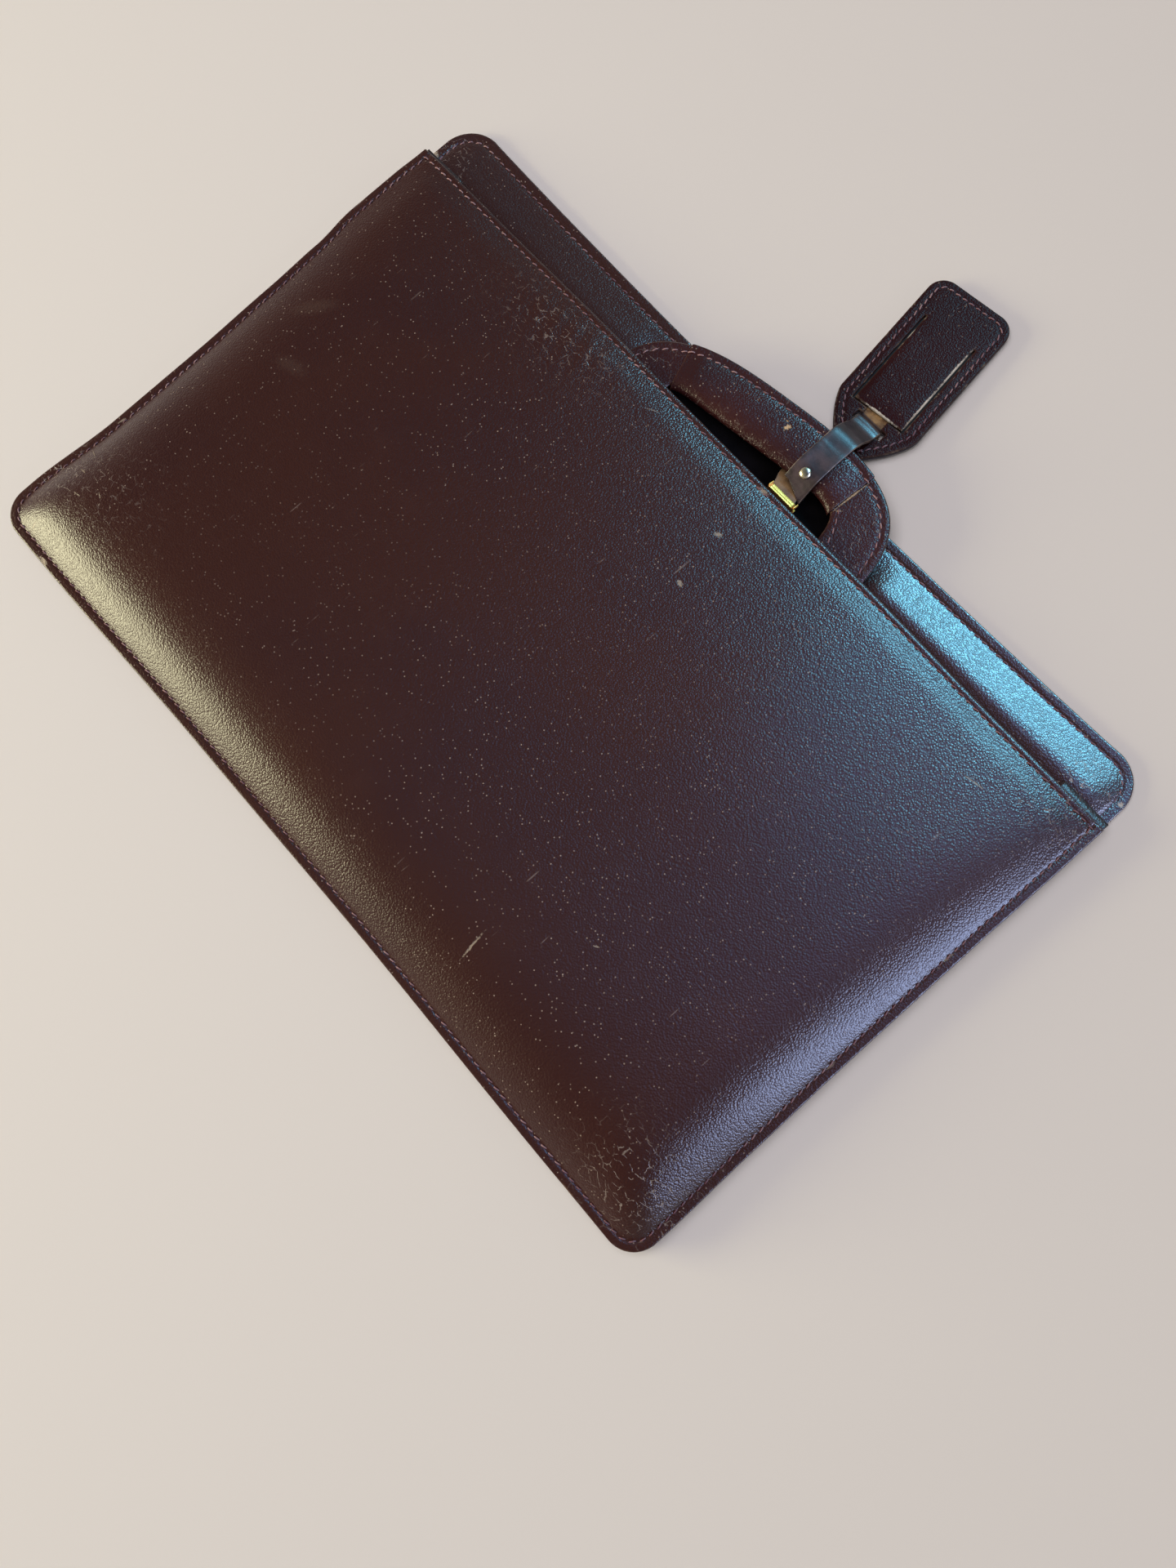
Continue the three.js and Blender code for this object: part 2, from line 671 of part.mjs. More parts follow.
function strapPath() {
  const clearance = strap_thickness / 2 + gap;
  const belly = grip_belly / 2;
  const edge = handle_wall / 2 + gap + grip_wall;
  const tag_middle = tag_rise + tag_thickness / 2;
  const turn = tag_thickness / 2 + clearance;
  const back_edge = topEdge((half_width - strap_x) / case_width);
  const starts = { fold: fold_y, top: grip_top_y, back_edge, lining_edge: lining_tab_y };
  const levels = {
    tag: tag_middle - turn,
    back: back_wall,
    lining: lining_top,
    handle: handlePlane(fold_y),
  };
  const path = strap_over.map((row) => ({
    y: starts[row.from] + row.past * strap_width,
    z: handlePlane(starts[row.from]) + row.belly * belly + row.edge * edge + row.clear * clearance,
    bow: 0,
  }));
  const before_slot = 0.24 * strap_width;
  path.push({ y: slot_y - before_slot, z: tag_middle + turn + clearance, bow: 0 });
  for (const angle of [90, 45, 0, -45, -90]) {
    const around = THREE.MathUtils.degToRad(angle);
    path.push({ y: slot_y + turn * Math.cos(around), z: tag_middle + turn * Math.sin(around), bow: 0 });
  }
  const leaving = { share: 0.4, bow: 0.15 };
  path.push({ y: lerp(slot_y, back_edge, leaving.share), z: levels.tag, bow: leaving.bow });
  for (const row of strap_under) {
    const y = starts[row.from] + row.past * strap_width;
    path.push({ y, z: levels[row.level] + row.belly * belly + row.clear * clearance, bow: row.bow });
  }
  return path.map((row) => new THREE.Vector3(strap_x - strap_bow * row.bow, row.y, row.z));
}

// Stations along the strap, each with its place, the direction along it and the direction off its face.
function strapStations() {
  const path = strapPath();
  const curve = new THREE.CatmullRomCurve3(path, false, 'centripetal');
  const steps = 3 * (path.length - 1);
  const stations = [];
  for (let k = 0; k <= steps; k += 1) {
    const along = curve.getTangent(k / steps);
    along.x = 0;
    along.normalize();
    stations.push({ at: curve.getPoint(k / steps), along, off: new THREE.Vector3(0, -along.z, along.y) });
  }
  return stations;
}

function strapBody() {
  const rings = strapStations().map(({ at, along, off }, k) => {
    const skew = k === 0 ? strap_end_skew : 0;
    const corner = (side, face) => {
      const place = at.clone().addScaledVector(off, (face * strap_thickness) / 2);
      place.x += (side * strap_width) / 2;
      return place.addScaledVector(along, -side * skew);
    };
    return [corner(-1, -1), corner(1, -1), corner(1, 1), corner(-1, 1)];
  });
  return loft(rings);
}

// The stud's frame: on the strap's outer face, a little above the grip's fold.
function studMatrix() {
  const target = fold_y + stud_from_fold;
  const away = (station) => Math.abs(station.at.y - target);
  const over = strapStations().filter((station) => station.at.z > handlePlane(station.at.y));
  const nearest = over.reduce((best, station) => (away(station) < away(best) ? station : best));
  const outer = nearest.off.clone();
  if (outer.z < 0) outer.negate();
  const turn = new THREE.Quaternion().setFromUnitVectors(new THREE.Vector3(0, 1, 0), outer);
  return new THREE.Matrix4().compose(nearest.at, turn, new THREE.Vector3(1, 1, 1));
}

function tagStrap() {
  const sides = 16;
  const radius = stud_post / 2 + gap;
  const bore = new THREE.CylinderGeometry(radius, radius, 3 * strap_thickness, sides);
  const hole = toManifold(bore.applyMatrix4(studMatrix()));
  return fromManifold(toManifold(strapBody()).subtract(hole));
}

function strapStud() {
  const sides = 20;
  const seat = strap_thickness / 2 + gap;
  const radius = stud_diameter / 2;
  const dome = [
    { out: 1, up: 0.2 },
    { out: 0.93, up: 0.45 },
    { out: 0.75, up: 0.75 },
    { out: 0.42, up: 0.95 },
  ];
  const profile = [
    new THREE.Vector2(0, -strap_thickness / 2),
    new THREE.Vector2(stud_post / 2, -strap_thickness / 2),
    new THREE.Vector2(stud_post / 2, seat),
    new THREE.Vector2(radius, seat),
    ...dome.map((row) => new THREE.Vector2(radius * row.out, seat + stud_dome * row.up)),
    new THREE.Vector2(0, seat + stud_dome),
  ];
  return new THREE.LatheGeometry(profile, sides).applyMatrix4(studMatrix());
}

// The brass clip folded over the strap's end, with its two ends turned up.
function strapClip() {
  const stations = strapStations();
  const end = stations[stations.length - 1];
  const inside = strap_thickness / 2 + gap;
  const outside = inside + clip_wall;
  const back = gap + clip_wall;
  const mouth = back - clip_depth;
  const section = [
    [mouth, -outside], [back, -outside], [back, outside], [mouth, outside],
    [mouth, inside], [gap, inside], [gap, -inside], [mouth, -inside],
  ].map(([along, off]) => new THREE.Vector2(along, off));
  const run = { depth: clip_length, bevelEnabled: false };
  const channel = new THREE.ExtrudeGeometry(new THREE.Shape(section), run);
  channel.translate(0, 0, -clip_length / 2);
  let solid = toManifold(channel);
  for (const side of [-1, 1]) {
    const ear = new THREE.BoxGeometry(clip_depth, clip_ear + clip_wall, clip_wall);
    const off = outside + (clip_ear - clip_wall) / 2;
    ear.translate(back - clip_depth / 2, -off, side * (clip_length - clip_wall) / 2);
    solid = solid.add(toManifold(ear));
  }
  const across = new THREE.Vector3().crossVectors(end.along, end.off);
  const frame = new THREE.Matrix4().makeBasis(end.along, end.off, across).setPosition(end.at);
  return fromManifold(solid).applyMatrix4(frame);
}

// A place in the tag's own frame, from one along X and Y measured at the slot.
function slotPlace(x, y) {
  const across = x * Math.cos(tag_leaning) + y * Math.sin(tag_leaning);
  const along = -x * Math.sin(tag_leaning) + y * Math.cos(tag_leaning);
  return new THREE.Vector2(across, along);
}

// The tag's outline, from its nose up the right side and back: across, and along from the slot.
function tagOutline() {
  const nose_steps = 8;
  const corner_steps = 6;
  const half = tag_width / 2;
  const right = [];
  for (let k = 0; k <= nose_steps; k += 1) {
    const share = k / nose_steps;
    const out = lerp(tag_nose_width / 2, half, 1 - (1 - share) ** tag_nose_power);
    right.push(new THREE.Vector2(out, share * tag_nose_length - slot_from_nose));
  }
  const far = tag_length - slot_from_nose;
  for (let k = 0; k <= corner_steps; k += 1) {
    const turn = (Math.PI / 2) * (k / corner_steps);
    const out = half - tag_corner_radius * (1 - Math.cos(turn));
    right.push(new THREE.Vector2(out, far - tag_corner_radius * (1 - Math.sin(turn))));
  }
  const left = right.map((p) => new THREE.Vector2(-p.x, p.y)).reverse();
  return [...right, ...left];
}

function slotCorners() {
  const half = slot_width / 2;
  return {
    near_left: slotPlace(-half, 0),
    near_right: slotPlace(half, 0),
    far_left: slotPlace(-half, slot_depth),
    far_right: slotPlace(half, slot_depth),
  };
}

function tagBack() {
  const slot = slotCorners();
  const hole = [slot.near_left, slot.near_right, slot.far_right, slot.far_left];
  return plate(tagOutline(), [hole], tag_wall, 0);
}

// The tag's front: its slot opens into a window, and the window into the cut round the tongue.
function tagFront() {
  const slot = slotCorners();
  const half = tongue_width / 2;
  const start = tongue_from_nose - slot_from_nose;
  const end = start + tongue_length;
  const beside = half + tongue_cut;
  const before = start - tongue_cut;
  const window_half = window_width / 2;
  const meet = (across) => {
    const share = (across - slot.far_left.x) / (slot.far_right.x - slot.far_left.x);
    return new THREE.Vector2(across, lerp(slot.far_left.y, slot.far_right.y, share));
  };
  const hole = [
    new THREE.Vector2(-beside, end), new THREE.Vector2(-half, end),
    new THREE.Vector2(-half, start), new THREE.Vector2(half, start),
    new THREE.Vector2(half, end), new THREE.Vector2(beside, end),
    new THREE.Vector2(beside, before), new THREE.Vector2(window_half, before),
    meet(window_half), slot.far_right, slot.near_right, slot.near_left, slot.far_left,
    meet(-window_half), new THREE.Vector2(-window_half, before), new THREE.Vector2(-beside, before),
  ];
  return plate(tagOutline(), [hole], tag_wall, tag_wall + gap);
}

function leather(color, roughness) {
  return new THREE.MeshStandardMaterial({ color, roughness, metalness: 0 });
}

function part(name, geometry, material) {
  const mesh = new THREE.Mesh(geometry, material);
  mesh.name = name;
  return mesh;
}

const grain_colour = 0x3a1c18;
const flesh_colour = 0x8a6a48;
const black_colour = 0x0c0a0a;
const brass_colour = 0xd8b24a;

const document_case = new THREE.Group();
document_case.add(part('back_panel', plate(backOutline(), [], back_wall, 0), leather(grain_colour, 0.4)));
const lining_sheet = plate(liningOutline(), [], lining_wall, back_wall + gap);
document_case.add(part('lining', lining_sheet, leather(black_colour, 0.9)));
document_case.add(part('gusset', gusset(), leather(grain_colour, 0.5)));
document_case.add(part('front_panel', frontPanel(), leather(grain_colour, 0.35)));

const handle = new THREE.Group();
handle.position.set(handle_centre_x, handle_y, handle_z);
handle.rotation.set(tilt, 0, lean);
handle.add(part('handle_arch', handleArch(), leather(grain_colour, 0.45)));
handle.add(part('handle_grip', handleGrip(), leather(grain_colour, 0.4)));
document_case.add(handle);

document_case.add(part('tag_strap', tagStrap(), leather(flesh_colour, 0.45)));
const brass = new THREE.MeshStandardMaterial({ color: brass_colour, roughness: 0.3, metalness: 1 });
document_case.add(part('strap_stud', strapStud(), brass));
document_case.add(part('strap_clip', strapClip(), brass.clone()));

const tag = new THREE.Group();
tag.position.set(strap_x, slot_y, tag_rise);
tag.rotation.set(-tag_slope, 0, tag_leaning);
tag.add(part('tag_back', tagBack(), leather(flesh_colour, 0.6)));
tag.add(part('tag_front', tagFront(), leather(grain_colour, 0.45)));
document_case.add(tag);

export default document_case;
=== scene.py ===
# A worn leather document case with a luggage tag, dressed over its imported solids.
# Every length is in millimetres in the case's own frame, and becomes metres where a mesh is made:
# X runs along the case, Y from the bottom edge to the handle, Z up out of the front.
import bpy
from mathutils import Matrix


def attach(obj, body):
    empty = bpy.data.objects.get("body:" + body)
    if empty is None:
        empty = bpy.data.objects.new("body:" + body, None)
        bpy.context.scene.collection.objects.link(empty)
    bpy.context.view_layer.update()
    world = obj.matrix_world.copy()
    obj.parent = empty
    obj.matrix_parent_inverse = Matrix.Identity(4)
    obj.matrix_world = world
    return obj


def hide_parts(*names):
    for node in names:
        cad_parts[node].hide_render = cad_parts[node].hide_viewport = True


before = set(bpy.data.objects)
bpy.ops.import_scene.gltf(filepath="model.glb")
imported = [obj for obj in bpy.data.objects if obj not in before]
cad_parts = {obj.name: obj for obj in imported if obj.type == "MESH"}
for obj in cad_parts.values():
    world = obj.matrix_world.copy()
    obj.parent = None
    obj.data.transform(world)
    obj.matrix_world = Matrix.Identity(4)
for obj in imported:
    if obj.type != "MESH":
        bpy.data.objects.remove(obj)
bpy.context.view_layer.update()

import math
from functools import partial
import bmesh
import bpy
import numpy as np
from mathutils import Matrix, Vector, geometry, noise

MM = 0.001
GROUND = -0.0002

# The case's sizes, as in the part's source.
gap = 0.3
case_width = 407
case_height = 271
bottom_corner_radius = 13
top_corner_radius = 16
flange = 4.2
back_wall = 2.2
lining_wall = 1
gusset_wall = 1.2
gusset_mouth = 1.6
gusset_depth = 24
gusset_corner_depth = 10
gusset_fold_height = 1.6
gusset_top_reach = 3
front_wall = 1.8
mouth_below_top = 28
hem_wall = 2.6
hem_width = 6
crown = 12
edge_rise = 44
mouth_rise = 200
mouth_power = 1.6
mouth_bow_half_width = 150
mouth_bow_end = 0.4
side_pull_in = 2.75
bottom_pull_in = 1.8
back_top_dip = 3.6
back_dip_power = 0.8
mouth_lift = 1.9
rise_power = 3

handle_half_width = 70.5
handle_height = 46.6
handle_power_across = 2.95
handle_power_up = 3.29
handle_lean = math.radians(7.8)
handle_tilt = math.radians(3.7)
handle_centre_x = 1.8
handle_below_mouth = 13.5
handle_leg = 32
handle_wall = 3
opening_half_width = 45
opening_height = 23
opening_power_left = 12
opening_power_right = 5
grip_wall = 1.2
grip_belly = 7.8
grip_seat = 2.6

strap_width = 12.5
strap_thickness = 1.5
strap_place = 0.3007
strap_bow = 4.6
stud_diameter = 4.8
stud_dome = 1.5
stud_post = 2
stud_from_fold = 2.4
strap_end_skew = 3
lining_past_fold = 3.5
clip_length = 14.6
clip_depth = 2.9
clip_wall = 0.5
clip_ear = 1.1

tag_width = 40
tag_length = 87
tag_wall = 1.5
tag_lean = math.radians(7.1)
tag_corner_radius = 8
tag_nose_width = 12
tag_nose_length = 22
tag_nose_power = 1.5
slot_from_nose = 12.6
slot_from_grip = 14
slot_width = 15.5
window_width = 10.5
tongue_from_nose = 21
tongue_width = 24.5
tongue_length = 47
tongue_cut = 0.8

lining_top = back_wall + gap + lining_wall
gusset_low = back_wall + gap
gusset_high = gusset_low + 2 * gusset_wall + gusset_mouth
flange_top = gusset_high + gap + front_wall
half_width = case_width / 2
bottom_y = -case_height / 2
top_y = case_height / 2
mouth_y = top_y - mouth_below_top
front_height = mouth_y - bottom_y
strap_x = handle_centre_x + handle_half_width * strap_place

# How far each edge is drawn in: where, then a share of its pull-in.
LEFT_DRAW = [(0, -0.1), (0.08, -0.1), (0.26, 0.95), (0.45, 1), (0.62, 0.75), (0.74, 0.45), (0.83, -0.3),
             (0.93, -0.25), (1, 0)]
RIGHT_DRAW = [(0, -0.1), (0.08, -0.05), (0.26, 0.2), (0.45, 0.35), (0.62, 0.3), (0.74, 0.25), (0.83, 0.1),
              (0.93, 0), (1, 0)]
BOTTOM_DRAW = [(0, 0), (0.08, -0.1), (0.35, 0.8), (0.58, 1), (0.9, 0.15), (1, 0)]
GUSSET_SWELL = [(0, 0), (0.02, 0.4), (0.05, 0.9), (0.1, 0.1), (0.16, 0), (1, 0)]
MOUTH_RISES = [(0, 1), (0.1, 0.895), (0.5, 0.263), (1, 0)]
# Hollows and swellings of the front: x, y, radius across, radius up, depth as a share of the crown.
FRONT_DENTS = [
    (-0.24, 0.9, 0.09, 0.1, -0.1), (-0.38, 0.55, 0.12, 0.25, -0.08), (0.08, 0.5, 0.22, 0.22, -0.12),
    (0.26, 0.62, 0.12, 0.16, 0.06), (0.34, 0.22, 0.1, 0.16, 0.06), (-0.2, 0.2, 0.2, 0.14, 0.05)]

# What the scene adds to the solids: rounded cut edges, stitch lines and their thread.
edge_radius = 0.75
seam_inset = 3.9
hem_seam = 3.0
back_seam = 4.4
handle_seam = 3.7
tag_seam = 3.4
groove_depth = 0.32
groove_width = 0.75
rim_steps = 3
stitch_pitch = 4.1
stitch_length = 2.9
thread_thickness = 0.6
stitch_rise = 1.15
back_ridge = 2.4
mouth_roll = 0.75
no_edge = 1e6


def lerp(a, b, share):
    return a + (b - a) * share


def ease(share):
    t = np.clip(share, 0, 1)
    return t * t * (3 - 2 * t)


def from_table(rows, at):
    """A value from a table of places and values, eased between its rows."""
    places = np.array([row[0] for row in rows], float)
    values = np.array([row[1] for row in rows], float)
    high = np.clip(np.searchsorted(places, at, side="left"), 1, len(rows) - 1)
    low = high - 1
    return lerp(values[low], values[high], ease((at - places[low]) / (places[high] - places[low])))


def left_edge(y):
    return -half_width + side_pull_in * from_table(LEFT_DRAW, (y - bottom_y) / front_height)


def right_edge(y):
    return half_width - side_pull_in * from_table(RIGHT_DRAW, (y - bottom_y) / front_height)


def bottom_edge(x):
    return bottom_y + bottom_pull_in * from_table(BOTTOM_DRAW, x / case_width + 0.5)


def mouth_edge(x):
    return mouth_y - gap + mouth_lift * from_table(MOUTH_RISES, x / case_width + 0.5)


def round_over(depth, radius):
    """How far a rounded edge or corner falls back at a distance in from where it starts."""
    rest = radius - np.clip(depth, 0, radius)
    return radius - np.sqrt(np.maximum(0, radius * radius - rest * rest))


def groove(depth, at):
    return groove_depth * np.exp(-(((depth - at) / groove_width) ** 2))


def patch(x, y, middle, reach):
    """One at a place, fading to nothing round it."""
    return np.exp(-(((x - middle[0]) / reach[0]) ** 2 + ((y - middle[1]) / reach[1]) ** 2))


def billow(x, y, size, seed):
    """Slow waves of hand-worn leather, between about -1 and 1."""
    flat_x, flat_y = np.ravel(x) / size, np.ravel(y) / size
    waves = [noise.noise(Vector((a, b, seed))) for a, b in zip(flat_x, flat_y)]
    return np.array(waves).reshape(np.shape(x))


def walled_distance(x, y, top, top_radius):
    """Distance in from the case's edge, with its rounded corners. The top is the edge above."""
    side = np.minimum(x - left_edge(y), right_edge(y) - x)
    rounded = side
    for rise, radius in ((y - bottom_edge(x), bottom_corner_radius), (top - y, top_radius)):
        in_corner = (side < radius) & (rise < radius)
        arc = radius - np.hypot(radius - side, radius - rise)
        rounded = np.minimum(rounded, np.where(in_corner, arc, rise))
    return np.maximum(0, rounded)


def front_top(x, y):
    """Height of the front's outer face, as the solid has it."""
    from_side = np.minimum(x - left_edge(y), right_edge(y) - x)
    from_bottom = y - bottom_edge(x)
    blend = np.maximum(0, bottom_corner_radius - np.abs(from_side - from_bottom))
    from_edge = np.minimum(from_side, from_bottom) - blend * blend / (4 * bottom_corner_radius)
    edge_share = np.clip((from_edge - flange) / edge_rise, 0, 1)
    mouth_share = np.clip((mouth_edge(x) - y) / mouth_rise, 0, 1)
    past_handle = (np.abs(x) - handle_half_width) / (mouth_bow_half_width - handle_half_width)
    bow = mouth_bow * lerp(1, mouth_bow_end, ease(past_handle))
    swell = np.full(np.shape(x), float(crown))
    along, up = x / case_width, (y - bottom_y) / front_height
    for dent_x, dent_y, reach_x, reach_y, depth in FRONT_DENTS:
        swell += crown * depth * patch(along, up, (dent_x, dent_y), (reach_x, reach_y))
    height = lerp(bow, swell, 1 - (1 - mouth_share) ** mouth_power)
    return flange_top + height * (1 - (1 - edge_share) ** rise_power)


# Handle: across runs along the arch and up is away from the case, in a plane that leans and rises.
handle_y = mouth_y - handle_below_mouth
leg_reach = handle_leg * math.cos(handle_lean) + handle_half_width * math.sin(handle_lean)
handle_z = lining_top + gap + handle_wall / 2 + leg_reach * math.tan(handle_tilt) + gap
handle_frame = (Matrix.Translation((handle_centre_x, handle_y, handle_z))
                @ Matrix.Rotation(handle_tilt, 4, "X") @ Matrix.Rotation(handle_lean, 4, "Z"))


def handle_plane(y):
    return handle_z + (y - handle_y) * math.tan(handle_tilt)


mouth_bow = handle_plane(mouth_y) + handle_wall / 2 + gap + hem_wall - flange_top


def arch_outer(across):
    share = np.minimum(1, np.abs(across) / handle_half_width)
    return handle_height * (1 - share ** handle_power_across) ** (1 / handle_power_up)


def arch_opening(across, height):
    power = np.where(np.asarray(across) < 0, opening_power_left, opening_power_right)
    share = np.minimum(1, np.abs(across) / opening_half_width)
    return height * (1 - share ** power) ** (1 / power)


def handle_edge_y(height):
    """Where the strap crosses a curve of the handle."""
    up = handle_height
    across = 0
    for _ in range(12):
        across = (strap_x - handle_centre_x + up * math.sin(handle_lean)) / math.cos(handle_lean)
        up = float(height(across))
    return handle_y + (across * math.sin(handle_lean) + up * math.cos(handle_lean)) * math.cos(handle_tilt)


fold_y = handle_edge_y(lambda across: arch_opening(across, opening_height))
grip_top_y = handle_edge_y(arch_outer)
lining_tab_y = fold_y + lining_past_fold
slot_y = grip_top_y + slot_from_grip
tag_thickness = 2 * tag_wall + gap
tag_rise = strap_thickness + gap + gap / 2
slot_depth = tag_thickness / 2 + strap_thickness + 3 * gap
tag_slope = math.asin(tag_rise / (tag_length - slot_from_nose))
tag_frame = (Matrix.Translation((strap_x, slot_y, tag_rise))
             @ Matrix.Rotation(-tag_slope, 4, "X") @ Matrix.Rotation(tag_lean, 4, "Z"))


# Meshes

def shown(name, data):
    """A new object of the scene that shows some data."""
    made = bpy.data.objects.new(name, data)
    bpy.context.scene.collection.objects.link(made)
    return made


def finish_piece(name, points, faces, material, node_name, attributes=()):
    """A closed piece from points in millimetres, its faces turned outwards, standing for one solid."""
    made = bpy.data.meshes.new(name)
    corners = [tuple(float(c) * MM for c in p) for p in points]
    made.from_pydata(corners, [], [tuple(map(int, f)) for f in faces])
    for key, values in dict(attributes).items():
        layer = made.attributes.new(key, "FLOAT", "POINT")
        layer.data.foreach_set("value", np.asarray(values, np.float32).ravel())
    shape = bmesh.new()
    shape.from_mesh(made)
    bmesh.ops.remove_doubles(shape, verts=shape.verts, dist=0.002 * MM)
    bmesh.ops.recalc_face_normals(shape, faces=shape.faces)
    if shape.calc_volume(signed=True) < 0:
        bmesh.ops.reverse_faces(shape, faces=shape.faces)
    shape.to_mesh(made)
    shape.free()
    made.materials.append(material)
    made.polygons.foreach_set("use_smooth", [True] * len(made.polygons))
    made.update()
    piece = shown(name, made)
    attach(piece, "root")
    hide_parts(node_name)
    return piece


def grid_faces(high, wide, start=0):
    found = []
    for r in range(high - 1):
        for c in range(wide - 1):
            a = start + r * wide + c
            found.append((a, a + 1, a + 1 + wide, a + wide))
    return found


def grid_border(high, wide):
    border = list(range(wide - 1))
    border += [r * wide + wide - 1 for r in range(high - 1)]
    border += [(high - 1) * wide + c for c in range(wide - 1, 0, -1)]
    border += [r * wide for r in range(high - 1, 0, -1)]
    return border


def band(one, two):
    """Faces between two closed rings of point numbers."""
    return [(one[k - 1], one[k], two[k], two[k - 1]) for k in range(len(one))]


def wall_between(outer, inner):
    """A closed wall from two grids of points of the same size."""
    high, wide = outer.shape[:2]
    count = high * wide
    points = np.concatenate([outer.reshape(-1, 3), inner.reshape(-1, 3)])
    faces = grid_faces(high, wide) + [f[::-1] for f in grid_faces(high, wide, count)]
    border = grid_border(high, wide)
    return points, faces + band(border, [count + k for k in border])


def skin(rings):
    """Rings of points joined to their neighbours: the points, their numbers ring by ring, and the faces."""
    points = [p for ring in rings for p in ring]
    numbers = np.arange(len(points)).reshape(len(rings), -1)
    return points, numbers, [face for one, two in zip(numbers, numbers[1:]) for face in band(one, two)]


def loft(rings):
    """A closed body from rings of points, with its two ends filled."""
    points, numbers, faces = skin(rings)
    for end in (numbers[0], numbers[-1]):
        ring = [Vector(points[k]) for k in end]
        faces += [tuple(end[k] for k in face) for face in geometry.tessellate_polygon([ring])]
    return points, faces


def evened(loop, spacing):
    """A closed loop of places, with its long sides divided."""
    points = []
    for a, b in zip(loop, loop[1:] + loop[:1]):
        a, b = np.asarray(a, float), np.asarray(b, float)
        count = max(1, int(np.linalg.norm(b - a) / spacing + 0.5))
        points += [lerp(a, b, k / count) for k in range(count)]
    return np.array(points)


def set_in(loop, distance):
    """A closed loop moved to its left by a distance, kept sharp at its corners."""
    before = loop - np.roll(loop, 1, axis=0)
    after = np.roll(loop, -1, axis=0) - loop
    sides = []
    for step in (before, after):
        long = np.maximum(1e-9, np.linalg.norm(step, axis=1, keepdims=True))
        sides.append(np.stack([-step[:, 1], step[:, 0]], axis=1) / long)
    both = sides[0] + sides[1]
    meet = 1 + np.sum(sides[0] * sides[1], axis=1, keepdims=True)
    return loop + distance * both / np.maximum(meet, 0.35)


def turning(loop):
    x, y = loop[:, 0], loop[:, 1]
    return 0.5 * np.sum(x * np.roll(y, -1) - np.roll(x, -1) * y)


def inside(places, loop):
    """Which places lie inside a closed loop."""
    x, y = places[:, 0:1], places[:, 1:2]
    ax, ay = loop[:, 0], loop[:, 1]
    bx, by = np.roll(ax, -1), np.roll(ay, -1)
    crosses = (ay > y) != (by > y)
    run = np.where(by == ay, 1, by - ay)
    hit = x < (bx - ax) * (y - ay) / run + ax
    return np.sum(crosses & hit, axis=1) % 2 == 1


def distance_to(places, loops):
    """Distance from each place to the nearest side of any loop."""
    nearest = np.full(len(places), 1e9)
    for loop in loops:
        a, b = loop, np.roll(loop, -1, axis=0)
        side = b - a
        long = np.maximum(1e-12, np.sum(side * side, axis=1))
        for start in range(0, len(places), 2000):
            part = places[start:start + 2000, None, :]
            share = np.clip(np.sum((part - a) * side, axis=2) / long, 0, 1)
            away = np.linalg.norm(part - (a + share[..., None] * side), axis=2).min(axis=1)
            nearest[start:start + 2000] = np.minimum(nearest[start:start + 2000], away)
    return nearest


def within(places, loops):
    """Which places lie inside the first loop and outside the others."""
    keep = inside(places, loops[0])
    for hole in loops[1:]:
        keep &= ~inside(places, hole)
    return keep


def fill_cut(cut, flat, spacing):
    """Places and triangles between the flat loops of a cut, and the place that each loop's corner became."""
    low, high = cut[0].min(axis=0), cut[0].max(axis=0)
    xs = np.arange(low[0], high[0], spacing)
    ys = np.arange(low[1], high[1], spacing * 0.866)
    grid = np.array([(x + (r % 2) * spacing / 2, y) for r, y in enumerate(ys) for x in xs])
    grid = grid[within(grid, flat)]
    grid = grid[distance_to(grid, flat) > spacing * 0.55]
    edges, start = [], 0
    for loop in flat:
        edges += [(start + k, start + (k + 1) % len(loop)) for k in range(len(loop))]
        start += len(loop)
    seeds = [Vector(p) for loop in [*flat, grid] for p in loop]
    found = geometry.delaunay_2d_cdt(seeds, edges, [], 0, 1e-6)
    places, triangles = np.array([tuple(v) for v in found[0]]), np.array(found[2])
    corner_of = {min(group): k for k, group in enumerate(found[3]) if group and min(group) < start}
    return places, triangles[within(places[triangles].mean(axis=1), flat)], corner_of


def cut_sheet(outline, holes, thickness, bottom, spacing, relief, radius):
    """A flat cut of leather with rounded edges. Relief(places, from_edge) lifts its upper face.
    Returns points, faces and each point's distance in from the nearest cut edge."""
    loops = []
    for loop, hole in [(outline, False)] + [(h, True) for h in holes]:
        even = evened(loop, spacing * 0.8)
        loops.append(even[::-1] if (turning(even) < 0) != hole else even)
    turns = [math.pi / 2 * k / rim_steps for k in range(rim_steps + 1)]
    rings = [[set_in(loop, radius * (1 - math.cos(turn))) for loop in loops] for turn in turns]
    places, triangles, corner_of = fill_cut(loops, rings[-1], spacing)
    from_edge = distance_to(places, loops)
    count, top = len(places), bottom + thickness
    points = [(x, y, top + z) for (x, y), z in zip(places, relief(places, from_edge))]
    points += [(x, y, bottom) for x, y in places]
    faces = [tuple(t) for t in triangles] + [tuple(count + k for k in t[::-1]) for t in triangles]
    depth = [*from_edge, *from_edge]
    # The rounded rim, from the upper face down to the lower one.
    levels = [(k, top - radius + radius * math.sin(turns[k])) for k in reversed(range(rim_steps))]
    levels += [(k, bottom + radius - radius * math.sin(turns[k])) for k in range(rim_steps)]
    start = 0
    for index, loop in enumerate(loops):
        above = [corner_of[start + k] for k in range(len(loop))]
        lowest = [count + k for k in above]
        for k, z in levels:
            ring = range(len(points), len(points) + len(loop))
            points += [(x, y, z) for x, y in rings[k][index]]
            depth += [radius * (1 - math.cos(turns[k]))] * len(loop)
            faces += band(above, ring)
            above = ring
        faces += band(above, lowest)
        start += len(loop)
    return points, faces, depth


